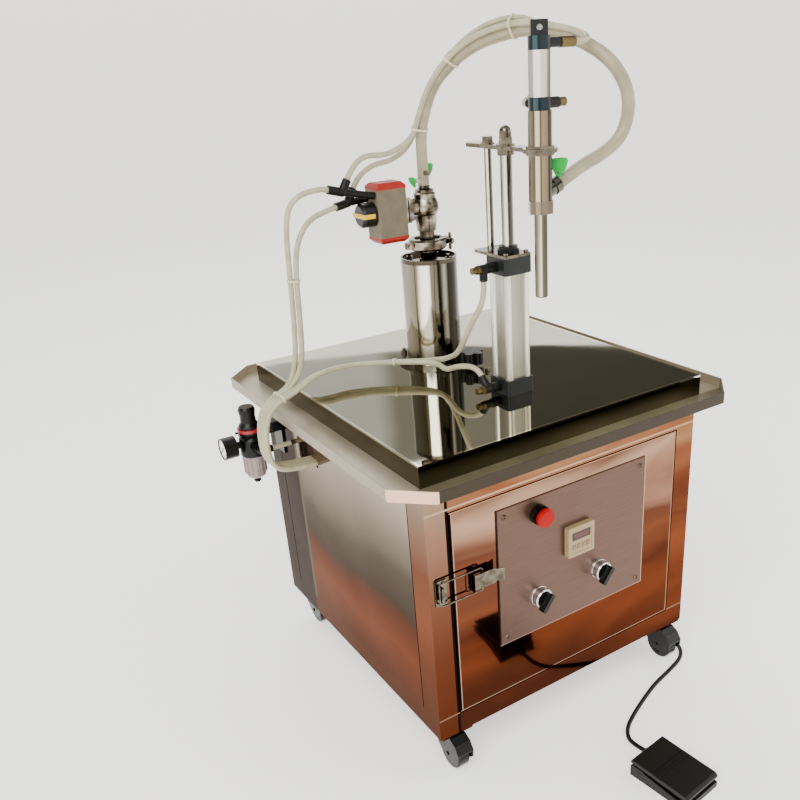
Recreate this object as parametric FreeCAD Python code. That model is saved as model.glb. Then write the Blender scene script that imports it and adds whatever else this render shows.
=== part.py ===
import FreeCAD, Part
import os
import math

os.makedirs("parts", exist_ok=True)
V = FreeCAD.Vector

# Driving dimensions, all in mm. Everything is drawn from the floor point under
# the middle of the cabinet, X running right along the door side and Y to the
# back. At the end it all moves so that the footprint is centred on the origin.
CAB_W = 480.0           # cabinet width
CAB_D = 508.0           # cabinet depth
FLOOR_GAP = 65.0        # caster height under the cabinet
CAB_TOP = 468.0         # top of the cabinet frame, under the gutter tray
SHEET = 1.5             # stainless sheet
PLINTH_H = 32.0         # bottom rail band
POST_X = 35.0           # post seen from the door side
POST_Y = 41.0           # post seen from the left side
HEAD_RAIL = 46.0        # rail over the door
DOOR_GAP = 2.0          # shadow gap around the door
DOOR_T = 18.0           # folded door thickness
TRAY_OUT_X = 50.0       # gutter tray overhang past the cabinet sides
TRAY_OUT_Y = 48.5       # gutter tray overhang past the front and back
LIP_H = 16.0            # gutter lip height
TRAY_CHAMFER = 43.5     # cut corner of the tray
PLATEAU_IN_X = 46.2     # raised worktop edge in from the tray edge
PLATEAU_IN_Y = 44.7
WORK_Z = 500.0          # worktop surface
WORK_T = 2.0
CASTER_IN_X = 29.0      # swivel axis in from the cabinet side
CASTER_IN_Y = 26.0      # swivel axis in from the cabinet front and back
WHEEL_R = 25.0
WHEEL_W = 20.0
TRAIL = 15.0            # wheel axle behind the swivel axis
METER_X = -6.0          # metering cylinder axis
METER_Y = 80.0
METER_R = 43.5
METER_WALL = 2.5
METER_H = 165.0
FLANGE_R = 60.0
FLANGE_T = 6.0
PISTON_STROKE = 120.0
VALVE_Z = 739.0         # ball centre height
LIFT_X = -1.5           # lift cylinder axis
LIFT_Y = -122.5
LIFT_CAP = 45.0         # square cap
LIFT_CAP_H0 = 22.5
LIFT_BARREL_TOP = 672.0
LIFT_CAP_TOP = 695.0
LIFT_PLATE_T = 4.0
LIFT_STROKE = 100.0
ROD_R = 8.0
GUIDE_R = 5.0
GUIDE_Y = -82.0
BRACKET_Z = 831.0
BRACKET_T = 5.0
BRACKET_W = 22.0
HEAD_Y = -194.0         # filling head axis
HEAD_TUBE_R = 14.8
HEAD_BARREL_R = 13.4
NOZZLE_R = 8.4
NOZZLE_END = 651.0
FIT = 0.05              # running fit per side
SEAT = 0.3              # gap between separate bodies
AIR_R = 4.0             # air tube outside radius
HOSE_R = 7.0            # product hose outside radius
HOSE_BORE = 5.0
CORD_R = 3.4            # pedal cable radius
PANEL_X0 = -131.0       # control plate on the door
PANEL_X1 = 141.0
PANEL_Z0 = 181.0
PANEL_Z1 = 398.0
PANEL_T = 2.0

FRONT = -CAB_D / 2
BACK = CAB_D / 2
LEFT = -CAB_W / 2
RIGHT = CAB_W / 2
CASTER_X = RIGHT - CASTER_IN_X
CASTER_Y = BACK - CASTER_IN_Y
PANEL_Y = FRONT - PANEL_T

groups = {}


def add(node, *shapes):
    groups.setdefault(node, []).extend(shapes)


def box(x0, x1, y0, y1, z0, z1):
    return Part.makeBox(x1 - x0, y1 - y0, z1 - z0, V(x0, y0, z0))


def cyl(x, y, z, r, h, axis=(0, 0, 1)):
    return Part.makeCylinder(r, h, V(x, y, z), V(*axis))


def tube(x, y, z, r, bore, h, axis=(0, 0, 1)):
    a = V(*axis)
    long = Part.makeCylinder(bore, h + 2, V(x, y, z) - a, a)
    return cyl(x, y, z, r, h, axis).cut(long)


def cone(x, y, z, r0, r1, h, axis=(0, 0, 1)):
    return Part.makeCone(r0, r1, h, V(x, y, z), V(*axis))


def prism(points, z0, h):
    loop = [V(x, y, z0) for x, y in points]
    return Part.Face(Part.makePolygon(loop + [loop[0]])).extrude(V(0, 0, h))


def turned(shape, origin, axis, degrees):
    out = shape.copy()
    out.rotate(V(*origin), V(*axis), degrees)
    return out


def moved(shape, x, y, z):
    out = shape.copy()
    out.translate(V(x, y, z))
    return out


def polygon(x, y, r, sides, z0, h, start=0.0):
    step = 2 * math.pi / sides
    pts = []
    for k in range(sides):
        a = start + k * step
        pts.append((x + r * math.cos(a), y + r * math.sin(a)))
    return prism(pts, z0, h)


def hexagon(x, y, z, r, h, axis):
    head = polygon(0, 0, r, 6, 0, h)
    head.Placement = FreeCAD.Placement(V(x, y, z), FreeCAD.Rotation(V(0, 0, 1), V(*axis)))
    return head


def fused(first, *rest):
    out = first
    for shape in rest:
        out = out.fuse(shape)
    return out.removeSplitter()


# Revolved profile round a vertical axis from radius and height pairs
def lathe(x, y, profile):
    pts = [V(x, y, profile[0][1])]
    pts += [V(x + r, y, z) for r, z in profile]
    pts.append(V(x, y, profile[-1][1]))
    face = Part.Face(Part.makePolygon(pts + [pts[0]]))
    return face.revolve(V(x, y, 0), V(0, 0, 1), 360)


# Same, but hollow from the bore radius outwards
def ring_lathe(x, y, bore, profile):
    pts = [V(x + bore, y, profile[0][1])]
    pts += [V(x + r, y, z) for r, z in profile]
    pts.append(V(x + bore, y, profile[-1][1]))
    face = Part.Face(Part.makePolygon(pts + [pts[0]]))
    return face.revolve(V(x, y, 0), V(0, 0, 1), 360)


# Straight runs joined by tangent arcs through the corner points
def route(points, corner=None):
    pts = [V(*p) for p in points]
    edges = []
    radii = []
    start = pts[0]
    for k in range(1, len(pts) - 1):
        a = pts[k - 1].sub(pts[k])
        b = pts[k + 1].sub(pts[k])
        turn = math.pi - a.getAngle(b)
        cut = 0.45 * min(a.Length, b.Length)
        if corner:
            cut = min(cut, corner * math.tan(turn / 2))
        radius = cut / math.tan(turn / 2)
        radii.append(radius)
        a.normalize()
        b.normalize()
        p0 = pts[k] + a * cut
        p2 = pts[k] + b * cut
        mid = a + b
        mid.normalize()
        p1 = pts[k] + mid * (math.hypot(radius, cut) - radius)
        edges.append(Part.LineSegment(start, p0).toShape())
        edges.append(Part.Arc(p0, p1, p2).toShape())
        start = p2
    edges.append(Part.LineSegment(start, pts[-1]).toShape())
    return Part.Wire(edges), radii


def swept(points, r, corner=None):
    wire, radii = route(points, corner)
    way = V(*points[1]).sub(V(*points[0]))
    circle = Part.Wire([Part.makeCircle(r, V(*points[0]), way)])
    return wire.makePipeShell([circle], True, False)


# Hollow square tube that runs along one axis
def square_tube(x0, x1, y0, y1, z0, z1, axis):
    past = {"x": (1, -SHEET, -SHEET), "y": (-SHEET, 1, -SHEET), "z": (-SHEET, -SHEET, 1)}[axis]
    hollow = box(x0 - past[0], x1 + past[0], y0 - past[1], y1 + past[1], z0 - past[2], z1 + past[2])
    return box(x0, x1, y0, y1, z0, z1).cut(hollow)


# Folded channel with closed ends, open below
def channel(x0, x1, y0, y1, z0, z1):
    hollow = box(x0 + SHEET, x1 - SHEET, y0 + SHEET, y1 - SHEET, z0 - 1, z1 - SHEET)
    return box(x0, x1, y0, y1, z0, z1).cut(hollow)


# Flat sheet with its four edges folded back by the signed depth, sheet first
def folded_panel(a0, a1, z0, z1, face, fold, along_axis):
    way = 1 if fold > 0 else -1

    def slab(u0, u1, d0, d1, w0, w1):
        near, far = sorted((face + way * d0, face + way * d1))
        if along_axis == "x":
            return box(u0, u1, near, far, w0, w1)
        return box(near, far, u0, u1, w0, w1)

    depth = abs(fold)
    return [slab(a0, a1, 0, SHEET, z0, z1),
            slab(a0, a0 + SHEET, SHEET, depth, z0, z1),
            slab(a1 - SHEET, a1, SHEET, depth, z0, z1),
            slab(a0 + SHEET, a1 - SHEET, SHEET, depth, z0, z0 + SHEET),
            slab(a0 + SHEET, a1 - SHEET, SHEET, depth, z1 - SHEET, z1)]


# Welded frame: bottom rails, four posts, top rails and floor panel
RAIL = 20.0
side_z0 = FLOOR_GAP + PLINTH_H
door_x0 = LEFT + POST_X + DOOR_GAP
door_x1 = RIGHT - POST_X - DOOR_GAP
pin_x = door_x1 - 4.0
pin_y = FRONT + 4.0
PIN_R = 2.0
CORD_HOLE = (150.0, -150.0)
GLAND_BORE = 8.0
frame = []
for y0 in (FRONT, BACK - RAIL):
    frame.append(channel(LEFT, RIGHT, y0, y0 + RAIL, FLOOR_GAP, side_z0))
    frame.append(square_tube(LEFT + POST_X, RIGHT - POST_X, y0, y0 + RAIL, CAB_TOP - HEAD_RAIL, CAB_TOP, "x"))
for x0 in (LEFT, RIGHT - RAIL):
    frame.append(channel(x0, x0 + RAIL, FRONT + RAIL, BACK - RAIL, FLOOR_GAP, side_z0))
    frame.append(square_tube(x0, x0 + RAIL, FRONT + POST_Y, BACK - POST_Y, CAB_TOP - RAIL, CAB_TOP, "y"))
for x0 in (LEFT, RIGHT - POST_X):
    for y0 in (FRONT, BACK - POST_Y):
        frame.append(square_tube(x0, x0 + POST_X, y0, y0 + POST_Y, side_z0, CAB_TOP, "z"))
floor_panel = box(LEFT + RAIL, RIGHT - RAIL, FRONT + RAIL, BACK - RAIL, FLOOR_GAP, FLOOR_GAP + SHEET)
frame.append(floor_panel.cut(cyl(CORD_HOLE[0], CORD_HOLE[1], FLOOR_GAP - 1, GLAND_BORE, 10)))
pin_line = cyl(pin_x, pin_y, FLOOR_GAP, PIN_R, CAB_TOP - SHEET - 1 - FLOOR_GAP)
add("cabinet_frame", *[member.cut(pin_line) for member in frame])

# Side and back panels set between the posts, resting on the bottom rails
FOLD = 12.0
side_y0 = FRONT + POST_Y + DOOR_GAP
side_y1 = BACK - POST_Y - DOOR_GAP
side_z1 = CAB_TOP - RAIL
TUBE_SLOT_Y = METER_Y
TUBE_SLOT_Z = 384.0
TUBE_PITCH = 2 * AIR_R + 0.5
SLOT_W = 4 * TUBE_PITCH + 3
SLOT_H = 2 * AIR_R + 5
FRL_Y = 207.0
FRL_Z = 386.0
FEED_Y = FRL_Y - 42
left_panel = folded_panel(side_y0, side_y1, side_z0, side_z1, LEFT, FOLD, "y")
left_panel[0] = left_panel[0].cut(box(LEFT - 1, LEFT + FOLD, TUBE_SLOT_Y - SLOT_W / 2, TUBE_SLOT_Y + SLOT_W / 2,
                                      TUBE_SLOT_Z - SLOT_H / 2, TUBE_SLOT_Z + SLOT_H / 2))
left_panel[0] = left_panel[0].cut(cyl(LEFT - 1, FEED_Y, FRL_Z, AIR_R + 0.5, 6, (1, 0, 0)))
right_panel = folded_panel(side_y0, side_y1, side_z0, side_z1, RIGHT, -FOLD, "y")
back_panel = folded_panel(door_x0, door_x1, side_z0, CAB_TOP - HEAD_RAIL, BACK, -FOLD, "x")
add("side_panels", *left_panel, *right_panel, *back_panel)

# Gutter tray with a turned-up lip and cut corners
tx = RIGHT + TRAY_OUT_X
ty = BACK + TRAY_OUT_Y
c = TRAY_CHAMFER


def cut_corner_loop(x, y, ch):
    return [(-x + ch, -y), (x - ch, -y), (x, -y + ch), (x, y - ch),
            (x - ch, y), (-x + ch, y), (-x, y - ch), (-x, -y + ch)]


tray_z0 = CAB_TOP
tray = prism(cut_corner_loop(tx, ty, c), tray_z0, LIP_H)
tray = tray.cut(prism(cut_corner_loop(tx - SHEET, ty - SHEET, c - SHEET * 0.5858), tray_z0 + SHEET, LIP_H))
px = tx - PLATEAU_IN_X
py = ty - PLATEAU_IN_Y
open_in = 26.0
tray = tray.cut(box(-px + open_in, px - open_in, -py + open_in, py - open_in, tray_z0 - 1, tray_z0 + SHEET + 1))
add("gutter_tray", tray)

# Raised worktop: a plate with its edges turned down to the gutter floor
work = box(-px, px, -py, py, tray_z0 + SHEET, WORK_Z)
work = work.cut(box(-px + SHEET, px - SHEET, -py + SHEET, py - SHEET, tray_z0, WORK_Z - WORK_T))
DRIVE_R = 22.0
work = work.cut(cyl(METER_X, METER_Y, WORK_Z - 5, DRIVE_R, 10))
KNOB_X = 14.0
KNOB_Y = 2.0
work = work.cut(cyl(KNOB_X, KNOB_Y, WORK_Z - 5, 5.0, 10))
add("worktop", work)

# Door: sheet with returned edges and two lugs for the hinge pins
door_z0 = side_z0 + DOOR_GAP
door_z1 = CAB_TOP - HEAD_RAIL - DOOR_GAP
LUG_H = 12.0
door_sheet, *door_folds = folded_panel(door_x0, door_x1, door_z0, door_z1, FRONT, DOOR_T, "x")
for z0, z1 in ((door_z0 + SHEET, door_z0 + LUG_H), (door_z1 - LUG_H, door_z1 - SHEET)):
    door_folds.append(box(door_x1 - SHEET - LUG_H, door_x1 - SHEET, FRONT + SHEET, FRONT + 10, z0, z1))
pin_room = cyl(pin_x, pin_y, door_z0 - 5, PIN_R + FIT, door_z1 - door_z0 + 10)
door_folds = [member.cut(pin_room) for member in door_folds]
BUTTON = (-61.0, 372.0)
SELECTORS = [(-62.0, 240.0), (51.0, 241.0)]
TIMER = (10.0, 309.0)
TIMER_S = 48.0
BUSH_R = 11.0
timer_half = 22.5


def panel_openings(depth):
    cuts = [cyl(BUTTON[0], PANEL_Y - 1, BUTTON[1], BUSH_R, depth, (0, 1, 0))]
    for sx, sz in SELECTORS:
        cuts.append(cyl(sx, PANEL_Y - 1, sz, BUSH_R, depth, (0, 1, 0)))
    cuts.append(box(TIMER[0] - timer_half, TIMER[0] + timer_half, PANEL_Y - 1, PANEL_Y - 1 + depth,
                    TIMER[1] - timer_half, TIMER[1] + timer_half))
    return cuts


for hole in panel_openings(8):
    door_sheet = door_sheet.cut(hole)
# Latch foot riveted to the door face
LATCH_X = -171.0
LATCH_Z = 309.0
LATCH_Y = FRONT - 6.0
EAR = 13.0
foot_plate = box(LATCH_X - 12, LATCH_X + 24, FRONT - 1.5, FRONT, LATCH_Z - EAR - 1.5, LATCH_Z + EAR + 1.5)
foot_ears = [box(LATCH_X - 5, LATCH_X + 5, FRONT - 10, FRONT - 1.5, z, z + 1.5)
             for z in (LATCH_Z - EAR - 1.5, LATCH_Z + EAR)]
latch_foot = fused(foot_plate, *foot_ears)
latch_foot = latch_foot.cut(cyl(LATCH_X, LATCH_Y, LATCH_Z - 20, 1.6 + FIT, 40))
add("door_panel", door_sheet, *door_folds, latch_foot)

# Hinge pins of the door, carried by the bottom rail and the head rail
pin_low = cyl(pin_x, pin_y, side_z0 - 6, PIN_R, door_z0 + 10 - side_z0 + 6)
pin_high = cyl(pin_x, pin_y, door_z1 - 10, PIN_R, 10 + DOOR_GAP + SHEET)
# Keeper of the latch on the left post
KEEP_X = LEFT + 17.0
keeper = fused(box(KEEP_X - 9, KEEP_X + 9, FRONT - 1.5, FRONT, LATCH_Z - 19, LATCH_Z + 19),
               box(KEEP_X - 3, KEEP_X + 1, FRONT - 9, FRONT - 1.5, LATCH_Z - 11, LATCH_Z + 11))
keeper_rivets = [cyl(KEEP_X + 4, FRONT - 1.5, LATCH_Z + s * 15, 2.5, 1.2, (0, -1, 0)) for s in (-1, 1)]
add("door_fittings", pin_low, pin_high, keeper.fuse(keeper_rivets[0]).fuse(keeper_rivets[1]))

# Latch lever on its pin, and the wire loop that pulls on the keeper
LEVER = 11.6
LOOP_X = LATCH_X + 11.0
WIRE_R = 1.3
lever = fused(box(LATCH_X - 3.6, LATCH_X + 30, LATCH_Y - 4.5, LATCH_Y - 3.2, LATCH_Z - LEVER, LATCH_Z + LEVER),
              prism([(LATCH_X + 30, LATCH_Y - 4.5), (LATCH_X + 42, LATCH_Y - 8.5),
                     (LATCH_X + 42, LATCH_Y - 7.2), (LATCH_X + 30, LATCH_Y - 3.2)],
                    LATCH_Z - LEVER + 2, 2 * LEVER - 4),
              box(LATCH_X - 3.6, LATCH_X + 15, LATCH_Y - 4.5, LATCH_Y + 2.2, LATCH_Z - LEVER, LATCH_Z - LEVER + 1.3),
              box(LATCH_X - 3.6, LATCH_X + 15, LATCH_Y - 4.5, LATCH_Y + 2.2, LATCH_Z + LEVER - 1.3, LATCH_Z + LEVER),
              cyl(LATCH_X, LATCH_Y, LATCH_Z - EAR - 1.4, 1.6, 2 * EAR + 2.8))
lever = lever.cut(cyl(LOOP_X, LATCH_Y, LATCH_Z - 20, WIRE_R + FIT, 40))
add("latch_lever", lever)
loop_half = EAR + 4.5
hook_x = KEEP_X - 3 - SEAT - WIRE_R
loop_pts = [(LOOP_X, LATCH_Y, LATCH_Z - 8), (LOOP_X, LATCH_Y, LATCH_Z - loop_half),
            (hook_x, LATCH_Y, LATCH_Z - loop_half), (hook_x, LATCH_Y, LATCH_Z + loop_half),
            (LOOP_X, LATCH_Y, LATCH_Z + loop_half), (LOOP_X, LATCH_Y, LATCH_Z + 8)]
add("latch_loop", swept(loop_pts, WIRE_R, 3.5))

# Control plate with its four screws
plate = box(PANEL_X0, PANEL_X1, PANEL_Y, FRONT, PANEL_Z0, PANEL_Z1)
for hole in panel_openings(8):
    plate = plate.cut(hole)
screws = []
SCREW_IN = 12.0
for x in (PANEL_X0 + SCREW_IN, PANEL_X1 - SCREW_IN):
    for z in (PANEL_Z0 + SCREW_IN, PANEL_Z1 - SCREW_IN):
        dome = cone(x, PANEL_Y, z, 4.2, 2.6, 2.4, (0, -1, 0))
        slot_cut = box(x - 5, x + 5, PANEL_Y - 3, PANEL_Y - 1.4, z - 0.5, z + 0.5)
        cross_cut = box(x - 0.5, x + 0.5, PANEL_Y - 3, PANEL_Y - 1.4, z - 2.2, z + 2.2)
        screws.append(dome.cut(slot_cut.common(cyl(x, PANEL_Y, z, 2.2, 4, (0, -1, 0)))).cut(cross_cut))
add("control_plate", plate, *screws)

# Start button: black collar and red cap on a stem
BX, BZ = BUTTON
collar = tube(BX, PANEL_Y, BZ, 14.5, 8.0 + FIT, 9.0, (0, -1, 0))
sleeve = tube(BX, PANEL_Y, BZ, BUSH_R, 8.0 + FIT, 24.0, (0, 1, 0))
sleeve_nut = tube(BX, FRONT + SHEET, BZ, 14.5, BUSH_R, 4.0, (0, 1, 0))
add("button_collar", fused(collar, sleeve), sleeve_nut)
BUTTON_STROKE = 4.0
cap_back = PANEL_Y - 9.0 - BUTTON_STROKE - 0.5
cap_body = cyl(BX, cap_back, BZ, 14.0, 4.5, (0, -1, 0))
cap_dome = cone(BX, cap_back - 4.5, BZ, 14.0, 11.0, 2.5, (0, -1, 0))
add("start_button", fused(cap_body, cap_dome, cyl(BX, cap_back, BZ, 8.0, 20.0, (0, 1, 0))))

# Two rotary selectors: chrome bezels and black lever knobs
bezels = []
BEZEL_L = 15.0
for k, (sx, sz) in enumerate(SELECTORS):
    ringed = cone(sx, PANEL_Y, sz, 15.5, 15.0, 3.0, (0, -1, 0)).fuse(
        cyl(sx, PANEL_Y - 3, sz, 14.6, BEZEL_L - 4.5, (0, -1, 0)))
    ringed = ringed.fuse(cone(sx, PANEL_Y - BEZEL_L + 1.5, sz, 14.6, 13.4, 1.5, (0, -1, 0)))
    ringed = ringed.fuse(cyl(sx, PANEL_Y, sz, BUSH_R, 24.0, (0, 1, 0)))
    ringed = ringed.cut(cyl(sx, PANEL_Y + 26, sz, 6.0 + FIT, 60, (0, -1, 0)))
    ringed = ringed.cut(cyl(sx, PANEL_Y - BEZEL_L + 4, sz, 12.0, 10, (0, -1, 0)))
    bezels.append(ringed.removeSplitter())
    bezels.append(tube(sx, FRONT + SHEET, sz, 14.5, BUSH_R, 4.0, (0, 1, 0)))
    disc = cyl(sx, PANEL_Y - BEZEL_L + 4 - SEAT, sz, 11.6, 3.4, (0, -1, 0))
    stem = cyl(sx, PANEL_Y - BEZEL_L + 4, sz, 6.0, 22.0, (0, 1, 0))
    y_front = PANEL_Y - BEZEL_L - 11
    grip = prism([(sx - 4.2, PANEL_Y - BEZEL_L), (sx - 3.2, y_front), (sx + 3.2, y_front),
                  (sx + 4.2, PANEL_Y - BEZEL_L)], sz - 14.0, 26.0)
    tip = box(sx - 3.0, sx + 3.0, y_front, PANEL_Y - BEZEL_L - SEAT, sz - 17.0, sz - 14.0)
    knob = fused(disc, stem, grip, tip)
    add("selector_%s" % ("left", "right")[k], turned(knob, (sx, 0, sz), (0, 1, 0), 38.0))
add("selector_bezels", *bezels)

# Timer: square face, sunk window and a row of keys
TX, TZ = TIMER
half = TIMER_S / 2
face_y = PANEL_Y - 9.0
timer = box(TX - half, TX + half, face_y, PANEL_Y, TZ - half, TZ + half)
timer = timer.makeFillet(2.0, [e for e in timer.Edges if abs(e.BoundBox.YLength - 9.0) < 1e-6])
timer = timer.fuse(box(TX - timer_half + 0.3, TX + timer_half - 0.3, PANEL_Y, PANEL_Y + 62,
                       TZ - timer_half + 0.3, TZ + timer_half - 0.3))
WIN = (TX - 17.0, TX + 17.0, TZ + 2.0, TZ + 15.0)
timer = timer.cut(box(WIN[0], WIN[1], face_y - 1, face_y + 1.2, WIN[2], WIN[3]))
timer = timer.cut(box(TX - 19.0, TX + 19.0, face_y - 1, face_y + 0.6, TZ - 19.0, TZ + 18.0))
keys = []
for k in range(4):
    kx = TX - 12.75 + k * 8.5
    timer = timer.cut(box(kx - 2.8, kx + 2.8, face_y - 1, face_y + 4.0, TZ - 12.8, TZ - 5.2))
    keys.append(box(kx - 2.5, kx + 2.5, face_y - 0.5, face_y + 2.8, TZ - 12.5, TZ - 5.5))
add("timer_case", timer.removeSplitter())
add("timer_keys", *keys)
add("timer_case", box(WIN[0], WIN[1], face_y + 0.7, face_y + 1.2, WIN[2], WIN[3]))

# Metering cylinder on its bolted base flange, with a sunk top cap and a neck
MX, MY = METER_X, METER_Y
bore = METER_R - METER_WALL
base = cyl(MX, MY, WORK_Z, FLANGE_R, FLANGE_T).cut(cyl(MX, MY, WORK_Z - 1, ROD_R + FIT, FLANGE_T + 2))
barrel = tube(MX, MY, WORK_Z + FLANGE_T, METER_R, bore, METER_H - FLANGE_T)
meter_top = WORK_Z + METER_H
cap_z = meter_top - 14.0
NECK_R = 12.0
NECK_BORE = 9.0
FERRULE_R = 25.2
joint_z = 684.0
cap = cyl(MX, MY, cap_z, bore, 8.0).fuse(cyl(MX, MY, cap_z + 8, NECK_R, joint_z - 6 - cap_z - 8))
cap = cap.fuse(cone(MX, MY, joint_z - 6, NECK_R, FERRULE_R, 3.5))
cap = cap.fuse(cyl(MX, MY, joint_z - 2.5, FERRULE_R, 2.5))
cap = cap.cut(cyl(MX, MY, cap_z - 1, NECK_BORE, 40)).removeSplitter()
meter = [base.fuse(barrel).removeSplitter(), cap]


def hex_bolt(x, y, z, r, h, stud_r, stud_h, start=0.3):
    head = polygon(x, y, r, 6, z, h, start)
    return head.fuse(cyl(x, y, z + h, stud_r, stud_h))


bolts = []
for k in range(6):
    a = math.radians(60 * k + 14)
    bolts.append(hex_bolt(MX + 52 * math.cos(a), MY + 52 * math.sin(a), WORK_Z + FLANGE_T, 5.2, 4.5, 2.8, 4.0))
for k in range(4):
    a = math.radians(90 * k + 38)
    bolts.append(hex_bolt(MX + 32 * math.cos(a), MY + 32 * math.sin(a), cap_z + 8, 5.0, 4.5, 2.8, 4.5))
add("meter_cylinder", *meter)

# Piston with its rod, driven from the air cylinder under the worktop
piston_z = cap_z - 24.0
DRIVE_BORE = 28.0
drive_top = WORK_Z - WORK_T
drive_bottom = drive_top - PISTON_STROKE - 44
piston = cyl(MX, MY, piston_z, bore - FIT, 20.0).fuse(cyl(MX, MY, drive_top - 28, ROD_R, piston_z - drive_top + 28))
piston = piston.fuse(cyl(MX, MY, drive_top - 28, DRIVE_BORE - FIT, 14.0))
add("metering_piston", piston.removeSplitter())
drive = cyl(MX, MY, drive_bottom, DRIVE_BORE + 4, drive_top - drive_bottom)
drive = drive.fuse(cyl(MX, MY, drive_top, DRIVE_R, WORK_T))
drive = drive.cut(cyl(MX, MY, drive_bottom + 8, DRIVE_BORE, drive_top - drive_bottom - 20))
drive = drive.cut(cyl(MX, MY, drive_bottom + 20, ROD_R + FIT, 200))
manifold_x = LEFT + FOLD + 26
manifold = box(manifold_x, manifold_x + 40, METER_Y - 45, METER_Y + 45, TUBE_SLOT_Z - 16, TUBE_SLOT_Z + 16)
manifold_legs = [box(LEFT + SHEET, manifold_x, METER_Y + s * 34 - 5, METER_Y + s * 34 + 5,
                     TUBE_SLOT_Z - 16, TUBE_SLOT_Z - 13) for s in (-1, 1)]
add("inner_air_parts", drive.removeSplitter(), fused(manifold, *manifold_legs))

# Product valve: ball housing, necks, pad for the actuator and hose barb
VZ = VALVE_Z
body = lathe(MX, MY, [(FERRULE_R, joint_z), (FERRULE_R, joint_z + 2.5), (NECK_R, joint_z + 6),
                      (NECK_R, 703.0), (14.5, 704.0), (16.5, 720.0), (16.5, 758.0), (14.0, 760.0),
                      (14.0, 764.0), (9.0, 765.0), (9.0, 770.0), (HOSE_BORE - FIT, 770.0),
                      (HOSE_BORE - FIT, 792.0)])
body = body.fuse(Part.makeSphere(20.5, V(MX, MY, VZ)))
PAD_X = MX - 34.0
PAD_T = 4.0
boss = cyl(PAD_X + PAD_T, MY, VZ, 11.0, 34.0 - PAD_T, (1, 0, 0)).cut(body)
pad = box(PAD_X, PAD_X + PAD_T, MY - 16, MY + 16, VZ - 16, VZ + 16)
BALL_R = 14.0
body = body.cut(Part.makeSphere(BALL_R + SEAT, V(MX, MY, VZ)))
body = body.cut(cyl(MX, MY, joint_z - 1, NECK_BORE, 60))
body = body.cut(cyl(MX, MY, VZ, 9.0, 27.0)).cut(cyl(MX, MY, VZ, 3.6, 60.0))
STEM_R = 5.0
stem_room = cyl(MX, MY, VZ, STEM_R + FIT, 60.0, (-1, 0, 0))
body = body.cut(stem_room)
for s in (-1, 1):
    for t in (-1, 1):
        bolts.append(hexagon(PAD_X + 4, MY + s * 12.5, VZ + t * 12.5, 3.4, 3.0, (1, 0, 0)))

# Two-part clamp on the ferrules with its hinge, swing bolt and wing nut
clamp = ring_lathe(MX, MY, 20.5, [(27.0, joint_z - 8), (29.5, joint_z - 5.5), (29.5, joint_z + 5.5),
                                  (27.0, joint_z + 8)])
clamp = clamp.cut(lathe(MX, MY, [(NECK_R, joint_z - 6), (FERRULE_R, joint_z - 2.5),
                                 (FERRULE_R + SEAT, joint_z - 2.5), (FERRULE_R + SEAT, joint_z + 2.5),
                                 (FERRULE_R, joint_z + 2.5), (NECK_R, joint_z + 6)]))
clamp = clamp.cut(box(MX + 20, MX + 40, MY - 2, MY + 2, joint_z - 10, joint_z + 10))
clamp = clamp.cut(box(MX - 40, MX - 20, MY - 0.5, MY + 0.5, joint_z - 10, joint_z + 10))
lug_x = MX + 30.0
clamp = clamp.fuse(box(lug_x - 1, lug_x + 8, MY + 2, MY + 7, joint_z - 5, joint_z + 5))
clamp = clamp.fuse(box(lug_x - 1, lug_x + 8, MY - 7, MY - 2, joint_z - 5, joint_z + 5))
clamp = clamp.fuse(box(MX - 38, MX - 29, MY - 5, MY - 0.5, joint_z - 5, joint_z + 5))
clamp = clamp.fuse(box(MX - 38, MX - 29, MY + 0.5, MY + 5, joint_z - 5, joint_z + 5))
swing = cyl(lug_x + 4, MY - 20, joint_z, 2.6, 27, (0, 1, 0))
wing_hub = cyl(lug_x + 4, MY - 7, joint_z, 5.0, 8.0, (0, -1, 0))
wing_a = box(lug_x + 3, lug_x + 5, MY - 14, MY - 8, joint_z + 4, joint_z + 13)
wing_b = box(lug_x + 3, lug_x + 5, MY - 14, MY - 8, joint_z - 13, joint_z - 4)
hinge_pin = cyl(MX - 34.5, MY - 7, joint_z, 2.4, 14, (0, 1, 0))
clamp = clamp.cut(cyl(lug_x + 4, MY - 30, joint_z, 2.6, 60, (0, 1, 0)))
clamp = clamp.cut(cyl(MX - 34.5, MY - 30, joint_z, 2.4, 60, (0, 1, 0)))
add("product_valve", body.removeSplitter(), boss.cut(stem_room), pad.cut(stem_room), *clamp.Solids)
add("product_valve", fused(swing, wing_hub, wing_a, wing_b), hinge_pin)

# Quarter-turn rotor: bored ball, stem and position cap
ACT_X1 = PAD_X - 8.0
ACT_L = 48.0
ACT_X0 = ACT_X1 - ACT_L
ball = Part.makeSphere(BALL_R, V(MX, MY, VZ)).cut(cyl(MX, MY, VZ - 20, NECK_BORE, 40))
stem = cyl(MX - 8, MY, VZ, STEM_R, MX - 8 - ACT_X0 + 5, (-1, 0, 0))
stem = stem.cut(cyl(MX, MY, VZ - 20, NECK_BORE, 40))
add("valve_rotor", ball.fuse(stem).removeSplitter())
CAP_Y = MY
cap_x = ACT_X0 - SEAT
dial = cyl(cap_x, CAP_Y, VZ, 17.5, 19.0, (-1, 0, 0)).fuse(cone(cap_x - 19, CAP_Y, VZ, 17.5, 14.0, 3.5, (-1, 0, 0)))
bar_cut = box(cap_x - 23, cap_x - 5, CAP_Y - 20, CAP_Y + 20, VZ - 3.2, VZ + 3.2)
bar = bar_cut.common(cyl(cap_x - 4, CAP_Y, VZ, 18.2, 19.2, (-1, 0, 0)))
dial = dial.cut(bar_cut).cut(cyl(cap_x + 1, CAP_Y, VZ, STEM_R, 7.0, (-1, 0, 0)))
add("position_cap", *dial.Solids)
add("position_cap", bar)

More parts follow.
